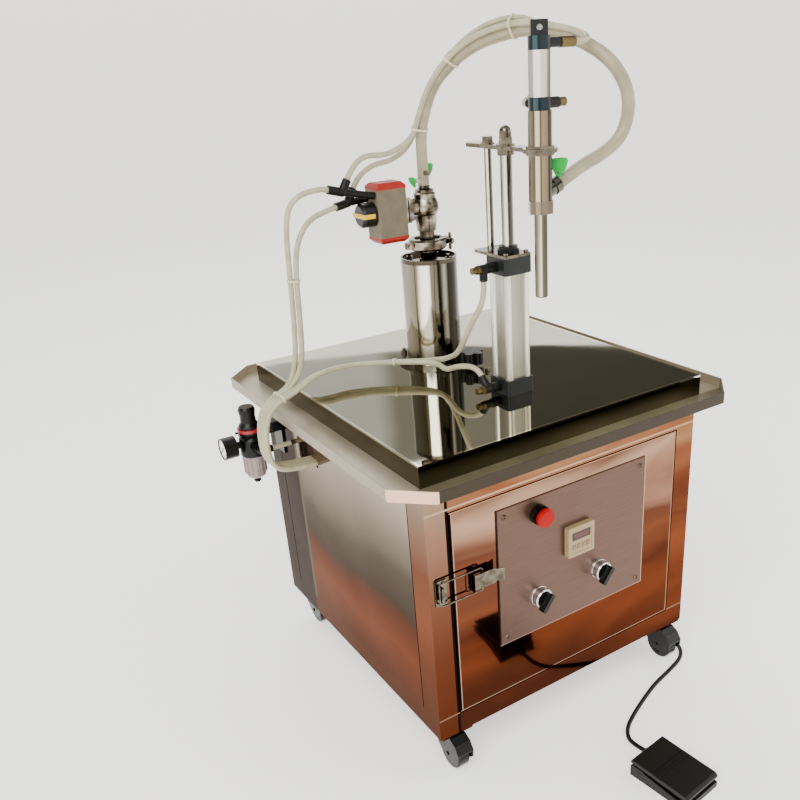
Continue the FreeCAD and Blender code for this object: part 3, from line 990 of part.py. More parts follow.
pedal_top = pedal_top.fuse(box(-pw + 7, pw - 7, HINGE_Y - 4, HINGE_Y + 4, HINGE_Z - 4, 23))
pedal_top = pedal_top.fuse(cyl(-pw + 0.5, HINGE_Y, HINGE_Z, 2.0, PEDAL_W - 1, (1, 0, 0)))
for k in range(9):
    y = -pl + 10 + k * 6.0
    pedal_top = pedal_top.cut(box(-pw + 6, pw - 6, y, y + 2.2, 25.9, 30))


def pedal_place(shape):
    out = turned(shape, (0, 0, 0), (0, 0, 1), PEDAL_TURN)
    return moved(out, PEDAL_C[0], PEDAL_C[1], 0)


pedal_gland = tube(9.0, pl, 9.0, 6.0, CORD_R, 8.0, (0, 1, 0))
add("pedal_base", pedal_place(pedal_tray.removeSplitter()))
add("pedal_base", pedal_place(pedal_gland))
add("pedal_treadle", pedal_place(pedal_top.removeSplitter()))

# Cable of the foot switch, from the gland under the floor panel to the pedal
turn = math.radians(PEDAL_TURN)


def pedal_point(x, y, z):
    return (PEDAL_C[0] + x * math.cos(turn) - y * math.sin(turn),
            PEDAL_C[1] + x * math.sin(turn) + y * math.cos(turn), z)


gland_low = FLOOR_GAP - 8.0
lie = CORD_R
CORD_ROUTE = [(CORD_HOLE[0], CORD_HOLE[1], gland_low), (152, -151, 30), (172, -163, lie + 1), (205, -178, lie),
              (240, -196, lie), (252, -226, lie), (245, -256, lie), (224, -276, lie), (186, -287, lie),
              (142, -297, lie), (98, -314, lie), (66, -328, lie), (41, -341, lie), (24, -357, lie + 1),
              pedal_point(9.0, pl + 33, 7.0), pedal_point(9.0, pl + 8, 9.0)]
wire, radii = route(CORD_ROUTE)
print("cable length %.1f mm, bend radii" % wire.Length, " ".join("%.0f" % r for r in radii))
cable = swept(CORD_ROUTE, CORD_R)
print("cable volume share %.4f" % (cable.Volume / (math.pi * CORD_R ** 2 * wire.Length)))
add("pedal_cable", cable)
gland = tube(CORD_HOLE[0], CORD_HOLE[1], gland_low, 9.0, CORD_R, 8.0).fuse(
    tube(CORD_HOLE[0], CORD_HOLE[1], FLOOR_GAP, GLAND_BORE, CORD_R, 10.0))
add("black_fittings", gland.removeSplitter())

# Centre the footprint of all but the loose cable on the origin and write the sub-parts
wholes = {}
for node, shapes in sorted(groups.items()):
    solids = []
    for shape in shapes:
        solids += shape.Solids
    wholes[node] = solids[0] if len(solids) == 1 else Part.makeCompound(solids)
span = FreeCAD.BoundBox()
for node, whole in wholes.items():
    if node != "pedal_cable":
        span.add(whole.BoundBox)
to_origin = V(-span.Center.x, -span.Center.y, 0)
print("shift to the origin %.4f %.4f" % (to_origin.x, to_origin.y))
for node, whole in wholes.items():
    whole.translate(to_origin)
    if not whole.isValid():
        print("not valid:", node)
    whole.exportStep("parts/%s.step" % node)
print(len(wholes), "sub-parts")
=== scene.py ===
import math
import bpy
import bmesh
from mathutils import Matrix, Vector
from mathutils.geometry import convex_hull_2d


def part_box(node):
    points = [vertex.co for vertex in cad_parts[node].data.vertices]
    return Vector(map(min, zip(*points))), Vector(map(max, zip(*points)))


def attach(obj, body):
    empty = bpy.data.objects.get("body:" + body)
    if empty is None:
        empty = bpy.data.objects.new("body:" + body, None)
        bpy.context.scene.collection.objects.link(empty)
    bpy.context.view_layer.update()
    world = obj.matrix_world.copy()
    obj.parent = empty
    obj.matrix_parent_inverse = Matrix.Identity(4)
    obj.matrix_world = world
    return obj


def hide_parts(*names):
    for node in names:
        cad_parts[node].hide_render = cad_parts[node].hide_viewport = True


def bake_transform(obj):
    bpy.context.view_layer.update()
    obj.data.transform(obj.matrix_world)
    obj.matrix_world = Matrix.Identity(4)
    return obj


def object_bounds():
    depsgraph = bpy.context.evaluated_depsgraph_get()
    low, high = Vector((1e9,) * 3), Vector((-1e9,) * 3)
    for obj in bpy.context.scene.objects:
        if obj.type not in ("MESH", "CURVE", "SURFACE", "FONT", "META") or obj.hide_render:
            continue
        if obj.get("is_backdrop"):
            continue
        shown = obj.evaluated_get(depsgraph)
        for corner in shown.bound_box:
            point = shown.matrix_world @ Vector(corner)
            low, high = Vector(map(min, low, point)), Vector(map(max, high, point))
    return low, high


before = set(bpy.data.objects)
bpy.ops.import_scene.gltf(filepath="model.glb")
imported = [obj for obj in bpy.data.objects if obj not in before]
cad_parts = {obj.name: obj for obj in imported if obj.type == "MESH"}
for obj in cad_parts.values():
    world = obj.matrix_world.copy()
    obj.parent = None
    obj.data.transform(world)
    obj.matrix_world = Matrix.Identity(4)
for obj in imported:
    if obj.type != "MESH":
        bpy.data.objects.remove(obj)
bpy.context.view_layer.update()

# Camera: it stands in front of the left corner of the door and looks down at
# the worktop. Places are in millimetres from the floor point under the middle of
# the cabinet: X to the right along the door, Y to the back, Z up.
cabinet_low, cabinet_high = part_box("cabinet_frame")
HOME = Vector(((cabinet_low[0] + cabinet_high[0]) / 2, (cabinet_low[1] + cabinet_high[1]) / 2, 0))


def at(x, y, z):
    return HOME + Vector((x, y, z)) / 1000


camera = bpy.data.objects.new("camera", bpy.data.cameras.new("camera"))
bpy.context.scene.collection.objects.link(camera)
bpy.context.scene.camera = camera
right = Vector((0.82782, -0.55887, -0.04864))
down = Vector((-0.27624, -0.33063, -0.90243))
ahead = Vector((0.48826, 0.76049, -0.42809))
turn = Matrix((right, -down, -ahead)).transposed().to_4x4()
camera.matrix_world = Matrix.Translation(at(-705.2, -1080.1, 948.0)) @ turn
camera.data.lens = 39.09
camera.data.sensor_width = 36.0
camera.data.shift_x = -0.0806
camera.data.shift_y = 0.0786


# Foot switch cable: 6.8 mm round PVC, moulded in one length. It comes out of the
# gland in the floor panel, passes the right front castor and runs over the floor
# into the back of the switch.
def tone(code, alpha=1.0):
    parts = [int(code[k:k + 2], 16) / 255 for k in (1, 3, 5)]
    linear = [c / 12.92 if c <= 0.04045 else ((c + 0.055) / 1.055) ** 2.4 for c in parts]
    return (*linear, alpha)


# One node with its own settings, and inputs given as values or as sockets to link.
def node(tree, kind, inputs=(), **settings):
    made = tree.nodes.new(kind)
    for name, value in settings.items():
        setattr(made, name, value)
    for name, value in dict(inputs).items():
        if isinstance(value, bpy.types.NodeSocket):
            tree.links.new(value, made.inputs[name])
        else:
            made.inputs[name].default_value = value
    return made


# A new finish on a principled shader. It gives the material, its tree, its shader
# and the Object coordinates that its patterns follow.
def finish(name, **inputs):
    made = bpy.data.materials.new(name)
    made.use_nodes = True
    tree = made.node_tree
    tree.nodes.clear()
    named = {key.replace("_", " ").title().replace("Ior", "IOR"): value for key, value in inputs.items()}
    shader = node(tree, "ShaderNodeBsdfPrincipled", named)
    node(tree, "ShaderNodeOutputMaterial", {"Surface": shader.outputs[0]})
    return made, tree, shader, node(tree, "ShaderNodeTexCoord").outputs["Object"]


# Fine bumps from a grain of the given size in millimetres.
def grained(tree, shader, spot, grain_mm, strength, lift_mm=0.2):
    speck = node(tree, "ShaderNodeTexNoise", {"Vector": spot, "Scale": 1000 / grain_mm, "Detail": 2.0})
    bump = node(tree, "ShaderNodeBump", {"Height": speck.outputs["Fac"], "Strength": strength,
                                         "Distance": lift_mm / 1000})
    tree.links.new(bump.outputs[0], shader.inputs["Normal"])
    return speck.outputs["Fac"]


# Colour stops along a 0 to 1 value.
def blended(tree, value, stops):
    ramp = node(tree, "ShaderNodeValToRGB", {"Fac": value})
    while len(ramp.color_ramp.elements) < len(stops):
        ramp.color_ramp.elements.new(0.5)
    for element, (place, code) in zip(ramp.color_ramp.elements, stops):
        element.position = place
        element.color = tone(code)
    return ramp.outputs["Color"]


# Moulded plastic, rubber or paint: an even colour that varies a little with the
# flow of the material, and a fine moulded grain.
def moulded(name, code, roughness, grain_mm=0.6, strength=0.15, **inputs):
    made, tree, shader, spot = finish(name, roughness=roughness, **inputs)
    grained(tree, shader, spot, grain_mm, strength)
    flow = node(tree, "ShaderNodeTexNoise", {"Vector": spot, "Scale": 60.0, "Detail": 3.0})
    paler = "#" + "".join("%02x" % min(255, int(int(code[k:k + 2], 16) * 1.1 + 3)) for k in (1, 3, 5))
    tree.links.new(blended(tree, flow.outputs["Fac"], [(0.35, code), (0.7, paler)]), shader.inputs["Base Color"])
    return made


def dress(made, *names):
    for name in names:
        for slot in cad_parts[name].material_slots:
            slot.material = made


# A line of one NURBS spline through the given control points.
def line_along(name, points, bevel_mm=0.0):
    curve = bpy.data.curves.new(name, "CURVE")
    curve.dimensions = "3D"
    spline = curve.splines.new("NURBS")
    spline.points.add(len(points) - 1)
    for knot, place in zip(spline.points, points):
        knot.co = (*at(*place), 1.0)
    spline.order_u = 3
    spline.use_endpoint_u = True
    spline.resolution_u = 8
    curve.bevel_depth = bevel_mm / 1000
    curve.bevel_resolution = 6
    curve.use_fill_caps = bevel_mm > 0
    made = bpy.data.objects.new(name, curve)
    bpy.context.scene.collection.objects.link(made)
    return made


CABLE_R = 3.4
CABLE = [(150, -150, 57), (152, -151, 30), (172, -163, 4.4), (205, -178, 3.4), (240, -196, 3.4),
         (252, -226, 3.4), (245, -256, 3.4), (224, -276, 3.4), (186, -287, 3.4), (142, -297, 3.4),
         (98, -314, 3.4), (66, -328, 3.4), (41, -341, 3.4), (24, -357, 4.4), (16.7, -375.0, 7),
         (19.55, -399.84, 9)]
cable = line_along("foot_switch_cable", CABLE, CABLE_R)
# Black PVC jacket: soft sheen, slightly brown where dust lies on it.
cable.data.materials.append(moulded("pvc_jacket_black", "#100b07", 0.42, specular_ior_level=0.2))
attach(cable, "machine")
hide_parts("pedal_cable")

# Room: a pale matt floor that curves up into a low wall, and soft light from
# broad panels. Above the wall the room is dim with one pale side, which is what
# the polished worktop mirrors.
WALL_R = 5.0
COVE_R = 2.0
WALL_TOP = 2.7
cove = []
for step in range(49):
    angle = 2 * math.pi * step / 48
    line = [(0.0, 0.0)] + [(WALL_R + COVE_R * math.sin(a), COVE_R - COVE_R * math.cos(a))
                           for a in [math.pi / 2 * k / 10 for k in range(11)]] + [(WALL_R + COVE_R, WALL_TOP)]
    cove.append([(HOME.x + r * math.cos(angle), HOME.y + r * math.sin(angle), z) for r, z in line])
count = len(cove[0])
floor_mesh = bpy.data.meshes.new("studio_floor")
floor_mesh.from_pydata([p for ring in cove for p in ring], [],
                       [(r * count + k, r * count + k + 1, (r + 1) * count + k + 1, (r + 1) * count + k)
                        for r in range(len(cove) - 1) for k in range(count - 1)])
for face in floor_mesh.polygons:
    face.use_smooth = True
floor = bpy.data.objects.new("studio_floor", floor_mesh)
bpy.context.scene.collection.objects.link(floor)
floor_paint, tree, shader, spot = finish("matt_floor_paint", base_color=tone("#f4f3f1"), roughness=0.9,
                                         emission_color=tone("#fffdf9"), emission_strength=0.85)
floor.data.materials.append(floor_paint)
floor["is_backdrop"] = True

world = bpy.data.worlds.new("studio_sky")
bpy.context.scene.world = world
world.use_nodes = True
tree = world.node_tree
tree.nodes.clear()
way = node(tree, "ShaderNodeTexCoord").outputs["Generated"]
apart = node(tree, "ShaderNodeSeparateXYZ", {"Vector": way})
height = blended(tree, apart.outputs["Z"], [(0.0, "#ffffff"), (0.1, "#ffffff"), (0.17, "#6f6b62"), (0.6, "#77736a"),
                                            (0.78, "#ffffff")])
bearing = node(tree, "ShaderNodeMath", {0: apart.outputs["Y"], 1: apart.outputs["X"]}, operation="ARCTAN2")
sweep = node(tree, "ShaderNodeMapRange", {"Value": bearing.outputs[0], "From Min": math.radians(30),
                                          "From Max": math.radians(100)})
side = blended(tree, sweep.outputs[0], [(0.0, "#a09d94"), (0.14, "#56534a"), (0.33, "#5c594f"), (0.36, "#a09b8e"),
                                        (0.455, "#a8a396"), (0.475, "#f4f2ec"), (0.8, "#ffffff"), (1.0, "#b9b5ab")])
high = node(tree, "ShaderNodeMath", {0: apart.outputs["Z"], 1: 0.13}, operation="GREATER_THAN")
low = node(tree, "ShaderNodeMath", {0: apart.outputs["Z"], 1: 0.62}, operation="LESS_THAN")
within = node(tree, "ShaderNodeMath", {0: high.outputs[0], 1: low.outputs[0]}, operation="MULTIPLY")
sky = node(tree, "ShaderNodeMix", {"Factor": within.outputs[0], 6: height, 7: side}, data_type="RGBA")
back = node(tree, "ShaderNodeBackground", {"Color": sky.outputs[2], "Strength": 1.0})
node(tree, "ShaderNodeOutputWorld", {"Surface": back.outputs[0]})

for name, place, size, power in (("key_panel", (-1900, -1500, 2600), 2.4, 110),
                                 ("fill_panel", (2200, -1600, 2000), 2.6, 40),
                                 ("back_panel", (500, 2400, 3200), 2.6, 60)):
    lamp = bpy.data.objects.new(name, bpy.data.lights.new(name, "AREA"))
    lamp.data.shape = "SQUARE"
    lamp.data.size = size
    lamp.data.energy = power
    lamp.location = at(*place)
    lamp.rotation_euler = (at(0, 0, 500) - at(*place)).to_track_quat("-Z", "Y").to_euler()
    bpy.context.scene.collection.objects.link(lamp)


# Cabinet: 1 mm stainless sheet, folded and polished to a mirror, on a welded tube frame.
# Its base colour is a painted reflection: the copper brown of a wooden floor low down and
# paler room colours above, in wavering streaks, and a fine bump ripples it where the sheet isn't flat.
def within_band(tree, value, low_mm, high_mm):
    return node(tree, "ShaderNodeMath", {0: value, 1: (low_mm + high_mm) / 2000, 2: (high_mm - low_mm) / 2000},
                operation="COMPARE").outputs[0]


def over(tree, under, mask, code):
    return node(tree, "ShaderNodeMix", {"Factor": mask, 6: under, 7: tone(code)}, data_type="RGBA").outputs[2]


def times(tree, first, second, operation="MULTIPLY"):
    return node(tree, "ShaderNodeMath", {0: first, 1: second}, operation=operation).outputs[0]


def mirror_sheet(name, stops, low_mm, high_mm, streak, tilt=0.0, roughness=0.06, wave=0.2, sway=0.5):
    made, tree, shader, spot = finish(name, metallic=1.0, roughness=roughness, specular_tint=tone("#cbc7c5"))
    split = node(tree, "ShaderNodeSeparateXYZ", {"Vector": spot})
    rise = node(tree, "ShaderNodeMapRange", {"Value": split.outputs["Z"], "From Min": low_mm / 1000,
                                             "From Max": high_mm / 1000})
    stretched = node(tree, "ShaderNodeMapping", {"Vector": spot, "Rotation": (tilt, tilt, 0.0), "Scale": streak})
    reflection_streaks = node(tree, "ShaderNodeTexNoise", {"Vector": stretched.outputs[0], "Scale": 1.0, "Detail": 3.0,
                                               "Roughness": 0.5, "Distortion": 0.8})
    shifted = times(tree, reflection_streaks.outputs["Fac"], 0.5, "SUBTRACT")
    mixed = node(tree, "ShaderNodeMath", {0: shifted, 1: sway, 2: rise.outputs[0]}, operation="MULTIPLY_ADD")
    ripple = node(tree, "ShaderNodeTexNoise", {"Vector": spot, "Scale": 7.0, "Detail": 1.0})
    bump = node(tree, "ShaderNodeBump", {"Height": ripple.outputs["Fac"], "Strength": wave, "Distance": 0.01})
    tree.links.new(bump.outputs[0], shader.inputs["Normal"])
    return made, tree, shader, split, blended(tree, mixed.outputs[0], stops)


# Painted reflection of the floor and room, from the bottom of the sheet to the top.
PAINTED_FLOOR_REFLECTION = [(0.0, "#3c1d10"), (0.2, "#5c2c18"), (0.42, "#743c22"), (0.6, "#5a2e1c"), (0.8, "#7c4a30"), (1.0, "#94704f")]
frame_steel, tree, shader, split, colour = mirror_sheet("polished_stainless_frame", PAINTED_FLOOR_REFLECTION, 60, 480,
                                                        (2.2, 2.2, 9.0), tilt=0.12, sway=0.9)
HX, HY = HOME.x * 1000, HOME.y * 1000
front_face = times(tree, split.outputs["Y"], (HY - 250) / 1000, "LESS_THAN")
# The left post gets its own painted reflection, darker low down and paler upwards.
left_post = times(tree, front_face, within_band(tree, split.outputs["X"], HX - 241, HX - 205))
post_rise = node(tree, "ShaderNodeMapRange", {"Value": split.outputs["Z"], "From Min": 0.07, "From Max": 0.45})
post_painted_reflection = blended(tree, post_rise.outputs[0], [(0.0, "#4c2412"), (0.35, "#5a2f1e"), (0.62, "#6b4633"),
                                                   (0.85, "#866350"), (1.0, "#8d7561")])
colour = node(tree, "ShaderNodeMix", {"Factor": left_post, 6: colour, 7: post_painted_reflection}, data_type="RGBA").outputs[2]
# Painted shadow: a dark band on the post beside the door's free edge, drawn wider than the real gap.
painted_gap_shadow = within_band(tree, split.outputs["X"], HX - 209, HX - 204.5)
colour = over(tree, colour, times(tree, front_face, painted_gap_shadow), "#120a07")
# Painted highlights: pale lines along the bottom rail and along the top edge of the front.
colour = over(tree, colour, within_band(tree, split.outputs["Z"], 97.5, 99.3), "#8a6c5a")
colour = over(tree, colour, times(tree, front_face, within_band(tree, split.outputs["Z"], 425, 428)), "#a98a72")
# The left face gets its own painted reflection, darker low down and paler upwards.
left_face = times(tree, split.outputs["X"], (HX - 239.3) / 1000, "LESS_THAN")
side_painted_reflection = blended(tree, post_rise.outputs[0], [(0.0, "#4f2914"), (0.3, "#643620"), (0.5, "#7a452e"),
                                                 (0.7, "#6d4230"),
                                                 (0.86, "#7d6050"), (1.0, "#8d7a6a")])
colour = node(tree, "ShaderNodeMix", {"Factor": left_face, 6: colour, 7: side_painted_reflection}, data_type="RGBA").outputs[2]
# Painted dark reflection on the back of the left face, where the regulator stands.
behind = times(tree, split.outputs["Y"], (HY + 150) / 1000, "GREATER_THAN")
colour = over(tree, colour, times(tree, left_face, behind), "#231e19")
tree.links.new(colour, shader.inputs["Base Color"])
dress(frame_steel, "cabinet_frame")

# Door: painted reflection of the floor and room, then a painted shadow in the gap at its free edge, and painted
# highlights: a pale line beside that gap and pale lines along its right, top and bottom edges.
door_steel, tree, shader, split, colour = mirror_sheet(
    "polished_stainless_door", [(0.0, "#3f1e10"), (0.2, "#63301a"), (0.36, "#4a2415"), (0.52, "#6c3c26"),
                                (0.66, "#5a3425"), (0.8, "#8a6550"), (0.92, "#a5846c"), (1.0, "#6b4a38")],
    95, 425, (2.6, 2.6, 8.0), tilt=0.16, sway=0.8)
colour = over(tree, colour, within_band(tree, split.outputs["X"], HX - 204, HX - 200.5), "#120a07")
colour = over(tree, colour, within_band(tree, split.outputs["X"], HX - 200.5, HX - 199), "#a08472")
colour = over(tree, colour, within_band(tree, split.outputs["X"], HX + 201, HX + 204), "#8f6f59")
colour = over(tree, colour, within_band(tree, split.outputs["Z"], 418.5, 421), "#94755f")
colour = over(tree, colour, within_band(tree, split.outputs["Z"], 98, 100.5), "#94755f")
tree.links.new(colour, shader.inputs["Base Color"])
dress(door_steel, "door_panel")

# Side panels: painted reflection of the floor and room.
side_steel, tree, shader, split, colour = mirror_sheet(
    "polished_stainless_sides", [(0.0, "#4a2412"), (0.2, "#6e3a22"), (0.33, "#582d1b"), (0.41, "#3a3228"),
                                 (0.56, "#4d473d"), (0.72, "#7a7063"), (1.0, "#b5a698")],
    80, 450, (1.6, 1.6, 3.4), sway=0.35)
# Painted dark reflection on the back of the left side, where the regulator stands, with a paler painted band at its
# front edge.
left_side = times(tree, split.outputs["X"], HX / 1000, "LESS_THAN")
for low_mm, high_mm, code in ((150, 226, "#231e19"), (142, 150, "#5b5549")):
    band = within_band(tree, split.outputs["Y"], HY + low_mm, HY + high_mm)
    colour = over(tree, colour, times(tree, band, left_side), code)
tree.links.new(colour, shader.inputs["Base Color"])
dress(side_steel, "side_panels")

# Worktop and gutter tray: the same polished sheet lying flat, so the worktop mirrors
# the cylinders and the dim room above. The tray is folded up from one sheet with cut
# corners; its walls carry painted light and shade, a pale left wall and a darker front.
top_steel, tree, shader, spot = finish("polished_stainless_worktop", metallic=1.0, roughness=0.03)
split = node(tree, "ShaderNodeSeparateXYZ", {"Vector": spot})
haze = node(tree, "ShaderNodeTexNoise", {"Vector": spot, "Scale": 5.0, "Detail": 3.0})
colour = blended(tree, haze.outputs["Fac"], [(0.3, "#aaa693"), (0.7, "#bab5a4")])
east = times(tree, split.outputs["X"], HX / 1000, "SUBTRACT")
north = times(tree, split.outputs["Y"], HY / 1000, "SUBTRACT")
# Painted highlight on the rim round the worktop's edge, and painted shade on the folded edge below it.
reach_x = times(tree, times(tree, east, 0.0, "ABSOLUTE"), 0.2405, "GREATER_THAN")
reach_y = times(tree, times(tree, north, 0.0, "ABSOLUTE"), 0.2545, "GREATER_THAN")
rim = times(tree, reach_x, reach_y, "MAXIMUM")
colour = over(tree, colour, rim, "#f0ebdc")
skirt_shade = times(tree, split.outputs["Z"], 0.4975, "LESS_THAN")
colour = over(tree, colour, skirt_shade, "#625c49")
tree.links.new(colour, shader.inputs["Base Color"])
ripple = node(tree, "ShaderNodeTexNoise", {"Vector": spot, "Scale": 6.0, "Detail": 1.0})
bump = node(tree, "ShaderNodeBump", {"Height": ripple.outputs["Fac"], "Strength": 0.04, "Distance": 0.01})
tree.links.new(bump.outputs[0], shader.inputs["Normal"])
dress(top_steel, "worktop")

tray_steel, tree, shader, spot = finish("polished_stainless_tray", metallic=0.6, roughness=0.36)
split = node(tree, "ShaderNodeSeparateXYZ", {"Vector": spot})
east = times(tree, split.outputs["X"], HX / 1000, "SUBTRACT")
north = times(tree, split.outputs["Y"], HY / 1000, "SUBTRACT")
smear = node(tree, "ShaderNodeMapping", {"Vector": spot, "Scale": (7.0, 7.0, 2.0)})
mottle = node(tree, "ShaderNodeTexNoise", {"Vector": smear.outputs[0], "Scale": 1.0, "Detail": 3.0})
lit_left_wall = blended(tree, mottle.outputs["Fac"], [(0.3, "#988d77"), (0.5, "#aca089"), (0.7, "#baae98")])
shaded_front_wall = blended(tree, mottle.outputs["Fac"], [(0.3, "#645d46"), (0.5, "#776f57"), (0.7, "#8b8268")])
is_front = times(tree, north, -0.2575, "LESS_THAN")
colour = node(tree, "ShaderNodeMix", {"Factor": is_front, 6: lit_left_wall, 7: shaded_front_wall}, data_type="RGBA").outputs[2]
# Painted shade on the front lip, painted light on the left lip and a painted highlight on the cut corner.
colour = over(tree, colour, times(tree, north, -0.2995, "LESS_THAN"), "#31281a")
colour = over(tree, colour, times(tree, east, -0.2865, "LESS_THAN"), "#978b78")
colour = over(tree, colour, times(tree, times(tree, east, north, "ADD"), -0.546, "LESS_THAN"), "#f0c2a4")
tree.links.new(colour, shader.inputs["Base Color"])
dress(tray_steel, "gutter_tray")


# Control plate: 1.5 mm stainless, screwed to the door, with a fine satin grain
# along its length. Its brown base colour is a painted reflection of the room in one soft tone.
plate_steel, tree, shader, spot = finish("satin_stainless_plate", metallic=0.85, roughness=0.36)
split = node(tree, "ShaderNodeSeparateXYZ", {"Vector": spot})
# The true grain is a few hundredths of a millimetre apart and is drawn coarser.
grain_space = node(tree, "ShaderNodeMapping", {"Vector": spot, "Scale": (20.0, 20.0, 1500.0)})
grain = node(tree, "ShaderNodeTexNoise", {"Vector": grain_space.outputs[0], "Scale": 1.0, "Detail": 3.0})
colour = blended(tree, grain.outputs["Fac"], [(0.3, "#5a4439"), (0.7, "#6a5246")])
# Painted shadow along the plate's left edge, and painted highlights along its right and bottom edges.
colour = over(tree, colour, within_band(tree, split.outputs["X"], HX - 131.5, HX - 129.5), "#2a1c15")
colour = over(tree, colour, within_band(tree, split.outputs["X"], HX + 139.8, HX + 142), "#b59a89")
colour = over(tree, colour, within_band(tree, split.outputs["Z"], 180, 182), "#a58b7b")
tree.links.new(colour, shader.inputs["Base Color"])
dress(plate_steel, "control_plate")

# Controls: a red push button in a black ring, two black selector knobs in
# chromed bezels, and an ivory ABS timer with a dark display window.
dress(moulded("button_red_abs", "#960000", 0.3, specular_ior_level=0.12),
      "start_button")
dress(moulded("gloss_black_nylon", "#070707", 0.22, specular_ior_level=0.25), "button_collar", "star_knob",
      "selector_left", "selector_right")
chrome, tree, shader, spot = finish("chrome_plate", metallic=1.0, roughness=0.07)
grained(tree, shader, spot, 8.0, 0.02)
shader.inputs["Base Color"].default_value = tone("#dfe4e8")
dress(chrome, "selector_bezels")
timer_abs, tree, shader, spot = finish("timer_ivory_abs", roughness=0.45)
grained(tree, shader, spot, 0.6, 0.1)
split = node(tree, "ShaderNodeSeparateXYZ", {"Vector": spot})
front = times(tree, split.outputs["Y"], (HY - 262) / 1000, "LESS_THAN")
window = times(tree, within_band(tree, split.outputs["X"], HX - 7, HX + 27),
               within_band(tree, split.outputs["Z"], 311, 324))
digits = times(tree, within_band(tree, split.outputs["X"], HX - 3, HX + 23),
               within_band(tree, split.outputs["Z"], 314, 321))
colour = node(tree, "ShaderNodeRGB").outputs[0]
colour.default_value = tone("#9c8660")
colour = over(tree, colour, times(tree, front, window), "#2c100b")
colour = over(tree, colour, times(tree, front, digits), "#542a1c")
tree.links.new(colour, shader.inputs["Base Color"])
dress(timer_abs, "timer_case")
dress(moulded("timer_key_ivory", "#7f6a49", 0.5), "timer_keys")

# Latch and hinges: polished stainless stampings and a bent wire loop, riveted
# to the door and the post.
bright_steel, tree, shader, spot = finish("polished_stainless_stampings", metallic=1.0, roughness=0.16)
grained(tree, shader, spot, 3.0, 0.05)
scuffs = node(tree, "ShaderNodeTexNoise", {"Vector": spot, "Scale": 90.0, "Detail": 3.0})
tree.links.new(blended(tree, scuffs.outputs["Fac"], [(0.3, "#4a4338"), (0.7, "#7f7768")]),
               shader.inputs["Base Color"])
dress(bright_steel, "latch_lever", "latch_loop", "door_fittings", "worktop_fixings", "lift_bracket",
      "metering_piston")

# Casters: glossy black nylon hoods over black polyurethane wheels, turning on a
# plate under each corner.
CORNERS = ("front_left", "front_right", "back_left", "back_right")
dress(moulded("caster_hood_gloss_black", "#040404", 0.1, 2.0, 0.03, specular_ior_level=0.22),
      *["caster_fork_" + c for c in CORNERS])
dress(moulded("caster_wheel_black", "#050505", 0.25, 1.0, 0.05, specular_ior_level=0.2),
      *["caster_wheel_" + c for c in CORNERS])


# Turned and polished stainless: the room it shows is a painted reflection, upright
# bands that run the whole length of the part. Each band follows the part's own axis.
def banded(name, x, y, radius, across, stops, roughness=0.1, metallic=1.0, wave=0.0, flat_top=None,
           top_code="#4d463a"):
    made, tree, shader, spot = finish(name, metallic=metallic, roughness=roughness)
    from_axis = node(tree, "ShaderNodeVectorMath", {0: spot, 1: at(x, y, 0)}, operation="SUBTRACT")
    side = node(tree, "ShaderNodeVectorMath", {0: from_axis.outputs[0], 1: (across[0], across[1], 0.0)},
                operation="DOT_PRODUCT")
    share = node(tree, "ShaderNodeMapRange", {"Value": side.outputs["Value"], "From Min": -radius / 1000,
                                              "From Max": radius / 1000})
    place = share.outputs[0]
    if wave:
        sway = node(tree, "ShaderNodeTexNoise", {"Vector": spot, "Scale": 9.0, "Detail": 1.0})
        shift = times(tree, sway.outputs["Fac"], 0.5, "SUBTRACT")
        place = node(tree, "ShaderNodeMath", {0: shift, 1: wave, 2: place}, operation="MULTIPLY_ADD").outputs[0]
    colour = blended(tree, place, stops)
    if flat_top:
        split = node(tree, "ShaderNodeSeparateXYZ", {"Vector": spot})
        colour = over(tree, colour, times(tree, split.outputs["Z"], flat_top / 1000, "GREATER_THAN"), top_code)
    tree.links.new(colour, shader.inputs["Base Color"])
    return made


# Metering cylinder: polished stainless tube, 87 mm outside, standing on a flange
# on the worktop, with a turned cap and a hinged clamp that joins the valve to it.
# Painted reflection bands round the cylinder, with a bright painted highlight band.
dress(banded("mirror_polished_cylinder", -6, 80, 43.5, (0.8567, -0.516), [
    (0.0, "#6f695c"), (0.1, "#8c8577"), (0.26, "#6e6452"), (0.31, "#e3d6bf"), (0.36, "#fffaf0"), (0.47, "#fffaf0"),
    (0.51, "#6b6456"), (0.62, "#605a4d"), (0.69, "#37332a"), (0.75, "#8d867b"), (0.81, "#26231b"), (0.93, "#2b2820"),
    (1.0, "#68665d")], 0.07, wave=0.05, flat_top=658.5), "meter_cylinder")

# Ball valve: investment cast stainless, bead blasted between its polished necks,
# with a hinged sanitary clamp below it and a hose barb on top.
cast_steel, tree, shader, spot = finish("cast_stainless", metallic=1.0, roughness=0.24)
grained(tree, shader, spot, 1.2, 0.25)
split = node(tree, "ShaderNodeSeparateXYZ", {"Vector": spot})
patches = node(tree, "ShaderNodeTexNoise", {"Vector": spot, "Scale": 55.0, "Detail": 2.0})
tree.links.new(blended(tree, patches.outputs["Fac"], [(0.34, "#352e24"), (0.5, "#675e50"), (0.62, "#b0a594")]),
               shader.inputs["Base Color"])
dress(cast_steel, "product_valve", "valve_rotor")

